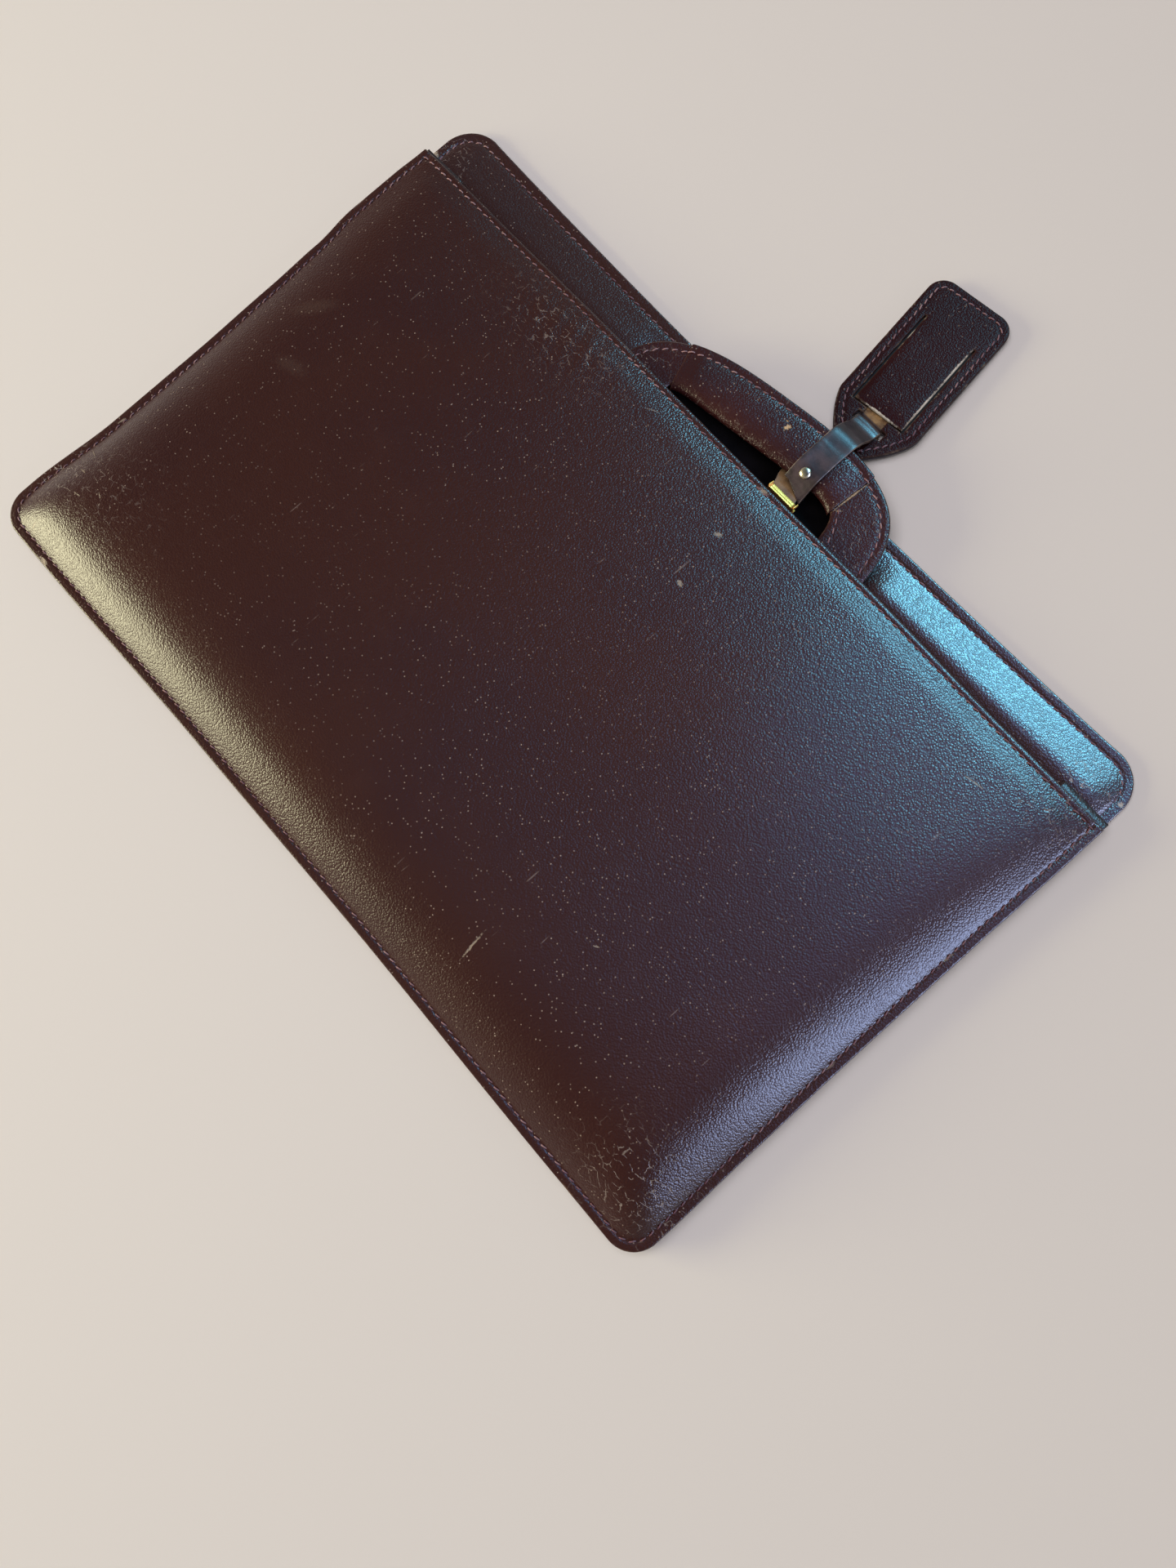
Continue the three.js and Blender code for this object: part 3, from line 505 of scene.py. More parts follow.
def placed(points, frame_matrix):
    return [tuple(frame_matrix @ Vector(p)) for p in points]


# Stitching

def seam_tree():
    """Geometry Nodes that lay slanted stitches along a path, whose points carry the way off the leather."""
    tree = bpy.data.node_groups.new("saddle_stitching", "GeometryNodeTree")
    add = partial(add_node, tree)
    for label, kind, value in (
            ("Path", "Geometry", None), ("Stitch pitch", "Float", stitch_pitch * MM),
            ("Stitch length", "Float", stitch_length * MM),
            ("Thread thickness", "Float", thread_thickness * MM), ("Stitch rise", "Float", stitch_rise * MM),
            ("Slant", "Float", 0.2), ("Unevenness seed", "Int", 3), ("Thread", "Material", None)):
        socket = tree.interface.new_socket(label, in_out="INPUT", socket_type="NodeSocket" + kind)
        if value is not None:
            socket.default_value = value
    tree.interface.new_socket("Stitches", in_out="OUTPUT", socket_type="NodeSocketGeometry")
    ask = add("NodeGroupInput").outputs
    line = add("GeometryNodeMeshToCurve", {"Mesh": ask["Path"]}).outputs["Curve"]
    marks = add("GeometryNodeResampleCurve", {"Curve": line, "Length": ask["Stitch pitch"]}, mode="LENGTH")
    along = add("GeometryNodeInputTangent").outputs["Tangent"]
    off = add("GeometryNodeInputNamedAttribute", {"Name": "off_leather"}, data_type="FLOAT_VECTOR").outputs
    turn = add("FunctionNodeAxesToRotation", {"Primary Axis": off["Attribute"], "Secondary Axis": along},
               primary_axis="Z", secondary_axis="X")
    uneven, size = (add("FunctionNodeRandomValue", {2: low, 3: high, "Seed": ask["Unevenness seed"]},
                        data_type="FLOAT").outputs[1] for low, high in ((-0.09, 0.09), (0.88, 1.1)))
    twist = add("vector", 0.0, 0.0, add("plus", ask["Slant"], uneven))
    leaning = add("FunctionNodeRotateRotation", {"Rotation": turn.outputs["Rotation"], "Rotate By": twist},
                  rotation_space="LOCAL").outputs["Rotation"]
    # One stitch: both its ends are sunk in the leather, and its middle stands above.
    half = add("times", ask["Stitch length"], 0.5)
    sunk = add("times", ask["Thread thickness"], -0.9)
    bend = add("GeometryNodeCurveQuadraticBezier",
               {"Resolution": 6, "Start": add("vector", add("times", half, -1.0), 0.0, sunk),
                "Middle": add("vector", 0.0, 0.0, ask["Stitch rise"]), "End": add("vector", half, 0.0, sunk)})
    section = add("GeometryNodeCurvePrimitiveCircle",
                  {"Resolution": 6, "Radius": add("times", ask["Thread thickness"], 0.5)})
    stitch = add("GeometryNodeCurveToMesh", {"Curve": bend.outputs["Curve"],
                                             "Profile Curve": section.outputs["Curve"], "Fill Caps": True})
    laid = add("GeometryNodeInstanceOnPoints",
               {"Points": marks.outputs["Curve"], "Instance": stitch.outputs["Mesh"], "Rotation": leaning,
                "Scale": size})
    real = add("GeometryNodeRealizeInstances", {"Geometry": laid.outputs["Instances"]})
    soft = add("GeometryNodeSetShadeSmooth", {"Geometry": real.outputs["Geometry"]})
    dyed = add("GeometryNodeSetMaterial", {"Geometry": soft.outputs["Geometry"], "Material": ask["Thread"]})
    add("NodeGroupOutput", {"Stitches": dyed.outputs["Geometry"]})
    return tree


def stitch_row(name, paths, tree, thread, pitch=stitch_pitch, slant=0.2):
    """One mesh of stitches along open paths. A path is a list of places and of the ways off the leather."""
    made = bpy.data.meshes.new(name)
    points, edges, ways = [], [], []
    for places, off in paths:
        first = len(points)
        points += [tuple(float(c) * MM for c in p) for p in places]
        ways += [tuple(float(c) for c in w) for w in off]
        edges += [(k, k + 1) for k in range(first, len(points) - 1)]
    made.from_pydata(points, edges, [])
    layer = made.attributes.new("off_leather", "FLOAT_VECTOR", "POINT")
    layer.data.foreach_set("vector", np.asarray(ways, np.float32).ravel())
    row = shown(name, made)
    nodes = row.modifiers.new("stitches", "NODES")
    nodes.node_group = tree
    named = {item.name: item.identifier for item in tree.interface.items_tree if item.in_out == "INPUT"}
    nodes[named["Stitch pitch"]] = pitch * MM
    nodes[named["Slant"]] = slant
    nodes[named["Thread"]] = thread
    bpy.context.view_layer.update()
    plain = bpy.data.meshes.new_from_object(row.evaluated_get(bpy.context.evaluated_depsgraph_get()))
    plain.name = name
    row.modifiers.clear()
    row.data = plain
    bpy.data.meshes.remove(made)
    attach(row, "root")
    return row


# Materials

def linear(hex_colour, alpha=1.0):
    """A colour given as sRGB hex, as the shader's linear values."""
    parts = [int(hex_colour[k:k + 2], 16) / 255 for k in (1, 3, 5)]
    return tuple(c / 12.92 if c <= 0.04045 else ((c + 0.055) / 1.055) ** 2.4 for c in parts) + (alpha,)


# Kinds of node used often: Blender's kind, its inputs in order, the output wanted, and its settings.
SHORTHAND = {
    "place": ("ShaderNodeTexCoord", (), "Object", {}),
    "attribute": ("ShaderNodeAttribute", (), "Fac", {}),
    "times": ("ShaderNodeMath", (0, 1), 0, {"operation": "MULTIPLY"}),
    "plus": ("ShaderNodeMath", (0, 1), 0, {"operation": "ADD"}),
    "mix": ("ShaderNodeMix", (0, 6, 7), 2, {"data_type": "RGBA"}),
    "between": ("ShaderNodeMapRange", (0, 1, 2, 3, 4), 0, {"interpolation_type": "SMOOTHSTEP"}),
    "noise": ("ShaderNodeTexNoise", ("Vector", "Scale", "Detail", "Roughness"), "Fac", {}),
    "cells": ("ShaderNodeTexVoronoi", ("Vector", "Scale"), "Distance", {}),
    "wave": ("ShaderNodeTexWave", ("Vector", "Scale", "Distortion"), "Fac", {}),
    "turned": ("ShaderNodeMapping", ("Vector", "Rotation", "Scale", "Location"), "Vector", {}),
    "vector": ("ShaderNodeCombineXYZ", ("X", "Y", "Z"), "Vector", {}),
    "bump": ("ShaderNodeBump", ("Strength", "Distance", "Height"), "Normal", {}),
}


def add_node(tree, kind, *values, **settings):
    """Adds one node with its settings and links. A kind of the table takes its inputs in order and gives its
    output. Any other takes a table of inputs and gives the node. An input is a value or another's socket."""
    blender_kind, order, result, fixed = SHORTHAND.get(kind, (kind, (), None, {}))
    made = tree.nodes.new(blender_kind)
    for key, value in {**fixed, **settings}.items():
        setattr(made, key, value)
    for key, value in zip(order, values) if order else dict(*values).items():
        if isinstance(value, bpy.types.NodeSocket):
            tree.links.new(value, made.inputs[key])
        else:
            made.inputs[key].default_value = value
    return made if result is None else made.outputs[result]


def new_material(name):
    """An empty material, and what adds a node to it."""
    made = bpy.data.materials.new(name)
    made.use_nodes = True
    made.node_tree.nodes.clear()
    return made, partial(add_node, made.node_tree)


def shaded(made, add, settings):
    """Closes a material with its one shader."""
    shader = add("ShaderNodeBsdfPrincipled", settings)
    add("ShaderNodeOutputMaterial", {"Surface": shader.outputs["BSDF"]})
    return made


def layered(add, clouds, low, high, dark, light, layers=()):
    """A colour that clouds between two, and then layers over it, each a share and a colour."""
    colour = add("mix", add("between", clouds, low, high), linear(dark), linear(light))
    for share, over in layers:
        colour = add("mix", share, colour, linear(over))
    return colour


def mottle(add, place, size, detail=3.0, rough=0.55):
    """Cloudy variation, its clouds about a size in millimetres."""
    return add("noise", place, 1 / (size * MM), detail, rough)


# Marks of wear: middle x and y, half length, half width (mm), turn (radians) and strength.
FRONT_SPOTS = [
    (76, -101, 8.5, 0.7, 1.69, 0.6), (-185, -127, 4.5, 0.45, 1.57, 0.65), (18, 79, 2.2, 1.5, 0.4, 0.6),
    (23, 54, 2.2, 1.4, -0.2, 0.6), (157, 83, 7.5, 0.5, 0.17, 0.5), (16.5, 105, 3.5, 1.5, 0.1, 0.5),
    (-172, -134.3, 3.4, 1.3, 0, 0.95), (-175, 24, 15, 5, 0.9, 0.035), (-160, -1, 11, 5, 0.3, 0.03),
    (-198, -70, 2.5, 0.7, 1.4, 0.5), (199, 30, 4, 0.7, 1.5, 0.4), (199, -30, 3, 0.7, 1.6, 0.35),
    (-178, -104, 2.6, 0.35, 0.2, 0.5), (-170, -97, 2.2, 0.3, -0.5, 0.45), (-186, -96, 2.8, 0.35, 0.1, 0.5),
    (-192, -88, 3, 0.35, -0.1, 0.45), (108, -66, 2.2, 0.5, 0.6, 0.45), (-40, 96, 4, 0.4, 0.5, 0.3),
]
BACK_SPOTS = [
    (201.5, 121, 1.6, 1.6, 0, 0.95), (-202, 112, 2.6, 2.2, 0, 0.95), (60, 131, 5, 0.8, 0, 0.4),
    (150, 133, 4, 0.8, 0, 0.4),
]
HANDLE_SPOTS = [
    (3.5, 130.5, 2.4, 1.3, 1.3, 1.0), (1.5, 132.5, 0.9, 0.5, 0, 0.6), (43, 122, 1.6, 0.5, 0.7, 0.6),
]


def spot_between(frame_matrix, start, stop, wide, strength):
    """A long mark from one place to another of a piece that lies in its own frame."""
    from_here, to_there = (frame_matrix @ Vector((x, y, 0)) for x, y in (start, stop))
    middle, way = (from_here + to_there) / 2, to_there - from_here
    return (middle.x, middle.y, way.length / 2, wide, math.atan2(way.y, way.x), strength)


def worn_spots(add, place, spots):
    """Single marks of wear with ragged edges: middle, half length, half width, turn and strength of each."""
    ragged = mottle(add, place, 1.1, 4.0, 0.75)
    total = 0.0
    for x, y, long, wide, turn, strength in spots:
        within = add("turned", place, (0.0, 0.0, turn), (long * MM, wide * MM, 1.0), (x * MM, y * MM, 0.0),
                     vector_type="TEXTURE")
        away = add("ShaderNodeVectorMath", {0: within}, operation="LENGTH").outputs["Value"]
        away = add("plus", away, add("times", ragged, 2.0))
        total = add("plus", total, add("between", away, 1.3, 1.9, strength, 0))
    return total


def crazing(add, place, worn):
    """Fine broken cracks where the leather has been bent often."""
    wander = add("ShaderNodeTexNoise", {"Vector": place, "Scale": 1 / (6 * MM), "Detail": 3.0})
    moved = add("ShaderNodeVectorMath", {0: wander.outputs["Color"], 1: (0.006, 0.006, 0.0)},
                operation="MULTIPLY")
    shifted = add("ShaderNodeVectorMath", {0: place, 1: moved.outputs["Vector"]}, operation="ADD")
    bent = add("turned", shifted.outputs["Vector"], (0.0, 0.0, 0.35), (0.6, 1.0, 1.0))
    cracks = add("cells", bent, 1 / (3.6 * MM), feature="DISTANCE_TO_EDGE")
    lines = add("times", add("between", cracks, 0.0, 0.045, 1, 0), worn)
    return add("times", lines, add("between", mottle(add, place, 2.6, 3.0), 0.47, 0.58, 0, 0.9))


def pale_specks(add, place, size, share, strength):
    """Dust and nicks: small round dots, of which a share is let through."""
    cells = add("ShaderNodeTexVoronoi", {"Vector": place, "Scale": 1 / (size * MM)}).outputs
    chosen = add("ShaderNodeSeparateColor", {"Color": cells["Color"]}).outputs["Red"]
    few = add("between", chosen, 1 - share, 1 - share + 0.04)
    dots = add("times", add("between", cells["Distance"], 0.2 / size, 0.38 / size, 1, 0), few)
    return add("times", dots, strength)


def glazed_calf(name, base, deep, pale, roughness=0.3, grain=0.85, edge="#6b5240", spots=(), polish=0.2,
                bare="#a8967f"):
    """Glazed calf: dyed, pressed smooth and polished, so that it is dark with a broad soft shine.
    The eye sees fine pores, faint clouds in the dye, dusty rubs, tiny pale nicks and worn edges."""
    made, add = new_material(name)
    place = add("place")
    from_edge, worn = (add("attribute", attribute_name=key) for key in ("from_edge", "worn"))
    clouds, blotches = mottle(add, place, 90), mottle(add, place, 14, 4.0)
    specks = add("plus", pale_specks(add, place, 1.5, 0.24, 0.6), pale_specks(add, place, 4.3, 0.2, 0.85))
    specks = add("times", specks, add("between", clouds, 0.36, 0.64, 0.45, 1.0))
    # Long hair-thin scratches, drawn coarser than life so that they show.
    stretched = add("turned", place, (0.0, 0.0, 0.9), (1.0, 0.07, 1.0))
    scratched = add("times", add("between", mottle(add, stretched, 1.5, 1.0), 0.735, 0.77),
                    add("between", blotches, 0.52, 0.64, 0, 0.4))
    crazed = crazing(add, place, worn)
    marks = worn_spots(add, place, spots)
    # Rubbed edges show the undyed leather in places.
    rubbed = add("times", add("between", from_edge, 0.15, 0.8, 1, 0),
                 add("between", mottle(add, place, 6, 5.0, 0.7), 0.5, 0.72, 0.05, 0.9))
    colour = layered(add, clouds, 0.35, 0.68, base, deep, [
        (add("between", blotches, 0.5, 0.9, 0, 0.18), pale), (specks, "#a3907f"), (scratched, "#85746a"),
        (crazed, "#a29489"), (marks, bare), (rubbed, edge)])
    # Grain, drawn a little coarser than the real half millimetre so that it catches the light.
    relief = add("plus", add("times", add("cells", place, 1 / (grain * MM)), -0.9),
                 add("times", mottle(add, place, 1.4, 3.0, 0.6), 0.12))
    relief = add("plus", relief, add("times", add("plus", crazed, marks), -0.6))
    shine = add("plus", add("between", clouds, 0.3, 0.7, roughness - 0.01, roughness + 0.03),
                add("times", add("plus", specks, marks), 0.2))
    return shaded(made, add, {
        "Base Color": colour, "Roughness": shine, "IOR": 1.5, "Coat Weight": max(polish, 0),
        "Coat Roughness": 0.28, "Specular IOR Level": 0.25 + polish,
        "Normal": add("bump", 0.85, 0.23 * grain * MM, relief)})


def black_cloth_painted_shade():
    """Black cotton lining: plain weave that drinks the light, with its threads just told apart. Its
    near-black colour is partly painted shade: it also stands for the deep shade seen through the handle's
    opening.
    """
    made, add = new_material("black_lining_with_painted_shade")
    place = add("place")
    weft, warp = (add("wave", place, 1 / (1.3 * MM), 0.6, bands_direction=way) for way in "XY")
    return shaded(made, add, {
        # Near black, darker than black cloth alone: the cloth's own colour with the deep shade of the
        # handle's opening painted in.
        "Base Color": layered(add, mottle(add, place, 18), 0.4, 0.75, "#050404", "#0d0a0b"),
        "Roughness": 0.95, "IOR": 1.45, "Specular IOR Level": 0.15,
        "Normal": add("bump", 0.4, 0.08 * MM, add("plus", weft, warp))})


def strap_leather():
    """Blackened bridle strap: waxed grain outside with a grey sheen, tan flesh inside, pale rubbed edges."""
    made, add = new_material("bridle_strap")
    place = add("place")
    flesh, from_edge = (add("attribute", attribute_name=key) for key in ("flesh", "from_edge"))
    clouds = mottle(add, place, 6, 5.0, 0.65)
    dyed = layered(add, clouds, 0.35, 0.7, "#2a1f20", "#453739")
    tan = layered(add, clouds, 0.3, 0.75, "#6f5235", "#9a7a52")
    rubbed = add("times", add("between", from_edge, 0.1, 0.55, 1, 0),
                 add("between", clouds, 0.4, 0.7, 0.2, 0.9))
    colour = add("mix", add("between", flesh, 0.35, 0.65), dyed, tan)
    return shaded(made, add, {
        "Base Color": add("mix", rubbed, colour, linear("#8c7a6a")),
        "Roughness": add("between", flesh, 0.2, 0.8, 0.36, 0.85), "IOR": 1.5, "Coat Weight": 0.12,
        "Coat Roughness": 0.3, "Normal": add("bump", 0.5, 0.1 * MM, mottle(add, place, 0.7, 4.0, 0.7))})


def suede_back():
    """Flesh side of the tag's back layer: golden-tan nap with a dark dyed face and burnished edges."""
    made, add = new_material("tan_suede")
    place = add("place")
    from_edge, bare = (add("attribute", attribute_name=key) for key in ("from_edge", "bare"))
    nap = mottle(add, place, 1.1, 5.0, 0.7)
    colour = layered(add, mottle(add, place, 5), 0.35, 0.7, "#54381f", "#94703f", [
        (add("between", nap, 0.35, 0.8, 0, 0.6), "#b08d5a"),
        (add("between", bare, 0.2, 0.8, 0.96, 0), "#1f100e"),
        (add("between", from_edge, 0.5, 1.4, 0.9, 0), "#2c1815")])
    return shaded(made, add, {"Base Color": colour, "Roughness": 0.9, "IOR": 1.45, "Sheen Weight": 0.25,
                              "Normal": add("bump", 0.7, 0.15 * MM, nap)})


def old_brass(name, bright, dull, roughness):
    """Lacquered brass gone soft with handling: yellow-gold with tarnish in clouds and fine rub marks."""
    made, add = new_material(name)
    place = add("place")
    clouds = mottle(add, place, 2.2, 5.0, 0.65)
    rubs = mottle(add, add("turned", place, (0.0, 0.0, 0.0), (0.1, 1.0, 1.0)), 0.25, 2.0)
    return shaded(made, add, {
        "Base Color": layered(add, clouds, 0.45, 0.75, bright, dull), "Metallic": 1.0,
        "Roughness": add("between", clouds, 0.35, 0.8, roughness, roughness + 0.22),
        "Normal": add("bump", 0.12, 0.02 * MM, rubs)})


def waxed_thread():
    """Waxed linen thread, mauve-pink where it has faded: two plies with a dull wax shine."""
    made, add = new_material("waxed_thread")
    place = add("place")
    plies = add("wave", place, 1 / (1.5 * MM), bands_direction="DIAGONAL")
    return shaded(made, add, {
        "Base Color": layered(add, mottle(add, place, 45, 2.0), 0.38, 0.66, "#6c4449", "#936f6f"),
        "Roughness": 0.6, "IOR": 1.5, "Normal": add("bump", 0.4, 0.1 * MM, plies)})


def pale_floor():
    """Matt pale paper under the case."""
    made, add = new_material("pale_floor")
    return shaded(made, add, {"Base Color": linear("#d9d2cb"), "Roughness": 1.0, "Specular IOR Level": 0.0})


# Pieces

# Patches that years of bending have worn, by piece: strength, middle and reach.
WEAR = {
    "front": [(0.8, (185, -112), (22, 18)), (0.8, (-200, -106), (12, 9)), (0.6, (185, 98), (22, 12)),
              (0.55, (-92, 92), (30, 13)), (0.35, (-180, -100), (34, 22)), (0.4, (20, 98), (20, 10))],
    "back": [(0.9, (186, 113), (16, 12)), (0.5, (-196, 118), (12, 14))],
    "arch": [(0.5, (-58, 20), (12, 14)), (0.4, (60, 18), (8, 14))],
    "grip": [(0.5, (0, 22), (40, 4))],
    "tag": [(0.5, (0, -6), (16, 8))],
}


def wear(points, piece):
    """How worn a piece is at each of its points."""
    x, y = np.array(points)[:, :2].T
    patches = [strength * patch(x, y, middle, reach) for strength, middle, reach in WEAR[piece]]
    return np.clip(sum(patches), 0, 1)


# Steps between the grid's lines, in from an edge.
NEAR_EDGE = [
    0, 0.12, 0.3, 0.55, 0.9, 1.4, 2, 2.6, 3, 3.3, 3.6, 3.9, 4.2, 4.6, 5.1, 5.8, 6.8, 8, 9.6, 11.6, 14, 17]
NEAR_MOUTH = [
    17, 14.5, 12.4, 10.6, 9, 7.6, 6.5, 5.5, 4.7, 4, 3.6, 3.3, 3, 2.7, 2.4, 2, 1.5, 1, 0.6, 0.3, 0.12, 0]


def wall_grid(column_count, row_count, upper_edge, low_radius, high_radius):
    """Places over one wall of the case, close together near its edges."""
    near, between_count = np.array(NEAR_EDGE), column_count - 1
    steps = np.concatenate([near, np.full(between_count, near[-1]), near[::-1]])
    shares = np.concatenate([0 * near, np.arange(1, column_count) / column_count, 0 * near + 1])
    rows = [(lambda x, s=step: bottom_edge(x) + s) for step in NEAR_EDGE]
    inner = near[-1]
    for k in range(1, row_count):
        rows.append(lambda x, s=k / row_count: lerp(bottom_edge(x) + inner, upper_edge(x) - NEAR_MOUTH[0], s))
    rows += [(lambda x, s=step: upper_edge(x) - s) for step in NEAR_MOUTH]
    flat = lerp(-half_width + steps, half_width - steps, shares)
    xs, ys = [], []
    for row in rows:
        y = row(flat)
        left, right = (edge(y) + sign * (round_over(y - bottom_edge(sign * -half_width), low_radius)
                                         + round_over(top_y - y, high_radius))
                       for edge, sign in ((left_edge, 1), (right_edge, -1)))
        xs.append(lerp(left + steps, right - steps, shares))
        ys.append(row(xs[-1]))
    return np.array(xs), np.array(ys)


def front_waves(x, y):
    """What years of use add to the front: slow waves, and folds that run from the hem by the handle."""
    waves = 0.34 * billow(x, y, 74, 1.7) + 0.07 * billow(x, y, 26, 4.2)
    folds = np.sin((x + 0.35 * (y - mouth_y)) * (2 * math.pi / 9.5)) * 0.16
    waves += folds * patch(x, y, (-92, 93), (26, 13))
    waves += np.sin((x * 0.5 + y) * (2 * math.pi / 7.5)) * 0.14 * patch(x, y, (182, 96), (16, 12))
    waves += np.sin((x + y * 0.7) * (2 * math.pi / 8.5)) * 0.1 * patch(x, y, (-178, -104), (14, 14))
    return waves


def front_panel(material):
    """The pillowed front: flat stitched flange, crowned middle, hemmed mouth."""
    x, y = wall_grid(176, 108, mouth_edge, bottom_corner_radius, 0)
    from_wall = walled_distance(x, y, no_edge, 0)
    from_mouth = mouth_edge(x) - y
    from_edge = np.minimum(from_wall, from_mouth)

    def height(px, py):
        inward = ease((walled_distance(px, py, no_edge, 0) - flange) / 14)
        below = mouth_edge(px) - py
        roll = mouth_roll * ease((below - hem_seam) / 10.5) * ease((95 - below) / 75)
        return front_top(px, py) + (front_waves(px, py) * ease((below + 6) / 16) + roll) * inward

    z = height(x, y)
    step = 0.5
    slope_x = (height(x + step, y) - height(x - step, y)) / (2 * step)
    slope_y = (height(x, y + step) - height(x, y - step)) / (2 * step)
    long = np.sqrt(slope_x ** 2 + slope_y ** 2 + 1)
    hem = ease((hem_width - from_mouth) / (hem_width / 2)) * ease((z - flange_top) / hem_wall)
    wall = lerp(front_wall, hem_wall, hem)
    outer_z = z - round_over(from_wall, edge_radius) - round_over(from_mouth, lerp(edge_radius, 1.2, hem))
    outer_z -= groove(from_wall, seam_inset) + groove(from_mouth, hem_seam) * ease((from_wall - 2) / 2)
    outer_z -= 0.25 * ease(1 - from_wall / seam_inset)
    inner_z = z - wall / long + round_over(from_edge, 0.6)
    inner_x = x + slope_x / long * wall
    points, faces = wall_between(np.stack([x, y, outer_z], axis=-1), np.stack([inner_x, y, inner_z], axis=-1))
    worn = wear(np.stack([x.ravel(), y.ravel()], axis=1), "front")
    return finish_piece("front_leather", points, faces, material, "front_panel",
                        {"from_edge": np.tile(from_edge.ravel(), 2), "worn": np.tile(worn, 2)})


def back_upper_edge(x):
    """The back's top edge, which sags between its corners."""
    reach = half_width - top_corner_radius
    share = np.clip((reach - x) / (2 * reach), 0, 1)
    return top_y - back_top_dip * np.sin(math.pi * share) ** back_dip_power


def back_panel(material):
    """The back: one flat piece, its strip above the mouth risen in a low ridge."""
    x, y = wall_grid(150, 96, back_upper_edge, bottom_corner_radius, top_corner_radius)
    from_edge = walled_distance(x, y, back_upper_edge(x), top_corner_radius)
    in_strip = ease((y - mouth_y + 8) / 6)
    z = back_wall - round_over(from_edge, edge_radius) - groove(from_edge, back_seam) * in_strip
    z += 0.2 * ease(1 - from_edge / back_seam) * in_strip
    z += (0.16 * billow(x, y, 34, 7.3) - 0.1) * ease(from_edge / 6) * in_strip
    clear = ease((np.abs(x - handle_centre_x) - 64) / 12) * ease((half_width - np.abs(x)) / 14)
    clear *= np.where(x < 0, 0.4, 1)
    ridge = back_ridge * ease((y - 103) / 11) * np.clip((back_upper_edge(x) - 5.5 - y) / 14, 0, 1) * clear
    z += ridge + 0.07 * np.sin((x * 0.8 + y) * (2 * math.pi / 6)) * patch(x, y, (184, 112), (16, 9))
    under = round_over(from_edge, edge_radius) + groove(from_edge, seam_inset) + ridge
    points, faces = wall_between(np.stack([x, y, z], axis=-1), np.stack([x, y, under], axis=-1))
    return finish_piece("back_leather", points, faces, material, "back_panel",
                        {"from_edge": np.tile(from_edge.ravel(), 2), "worn": wear(points, "back")})


def edge_stations(side_steps, corner_steps, bottom_steps):
    """The U-shaped edge from the mouth's left end round to its right: place, way inward, gusset depth."""
    easing = gusset_depth + bottom_corner_radius
    low = float(bottom_edge(-half_width)) + bottom_corner_radius
    high = mouth_y + gusset_top_reach
    depth_at = lambda away: lerp(gusset_corner_depth, gusset_depth, ease(away / easing))
    sides = []
    for edge, sign in ((left_edge, -1), (right_edge, 1)):
        down = [lerp(high, low, k / side_steps) for k in range(side_steps)]
        rows = [(float(edge(y)), y, -sign, 0, depth_at(y - low)) for y in down]
        centre_x = float(edge(low)) - sign * bottom_corner_radius
        centre_y = float(bottom_edge(centre_x)) + bottom_corner_radius
        for k in range(corner_steps + 1):
            turn = (math.pi / 2) * (k / corner_steps)
            nx, ny = math.cos(turn), math.sin(turn)
            rows.append((centre_x + sign * bottom_corner_radius * nx, centre_y - bottom_corner_radius * ny,
                         -sign * nx, ny, gusset_corner_depth))
        sides.append(rows)
    left, right = sides
    start, stop = left[-1][0], right[-1][0]
    bottom = []
    for k in range(1, bottom_steps):
        x = lerp(start, stop, k / bottom_steps)
        bottom.append((x, float(bottom_edge(x)), 0, 1, depth_at(min(x - start, stop - x))))
    return left + bottom + right[::-1]


def rounded(corners, radius, steps=3):
    """A closed outline of corners with each corner turned in a short curve."""
    points = []
    count = len(corners)
    for k, corner in enumerate(corners):
        here = Vector(corner)
        before, after = Vector(corners[k - 1]) - here, Vector(corners[(k + 1) % count]) - here
        reach = min(radius, before.length * 0.45, after.length * 0.45)
        start, stop = here + before.normalized() * reach, here + after.normalized() * reach
        for n in range(steps + 1):
            t = n / steps
            points.append(start * (1 - t) ** 2 + here * 2 * t * (1 - t) + stop * t ** 2)
    return points


def gusset(material):
    """The gusset: a strip folded inward like a V between the two walls."""
    stations = edge_stations(84, 16, 120)
    rings, depths = [], []
    for k, (x, y, nx, ny, depth) in enumerate(stations):
        share = k / (len(stations) - 1)
        swell = gusset_wall * float(from_table(GUSSET_SWELL, share))
        swell += 0.18 * noise.noise(Vector((share * 90, 0.3, 2.1)))
        sag = 0.35 * noise.noise(Vector((share * 26, 5.1, 0.4)))
        tip = depth - gusset_wall
        fold = (gusset_low + gusset_high) / 2 + gusset_fold_height + sag
        fold_half = gusset_wall * 1.1
        under, over = gusset_low + gusset_wall, gusset_high - gusset_wall
        section = [(-swell, gusset_low), (flange, gusset_low), (tip, fold - fold_half), (depth, fold),
                   (tip, fold + fold_half), (flange, gusset_high), (-swell, gusset_high), (-swell, over),
                   (flange, over), (tip - gusset_wall, fold), (flange, under), (-swell, under)]
        soft = rounded(section, 0.45)
        rings.append([(x + nx * p.x, y + ny * p.x, p.y) for p in soft])
        depths += [max(0, p.x + swell) for p in soft]
    points, faces = loft(rings)
    return finish_piece("gusset_leather", points, faces, material, "gusset",
                        {"from_edge": depths, "worn": [0.3] * len(points)})


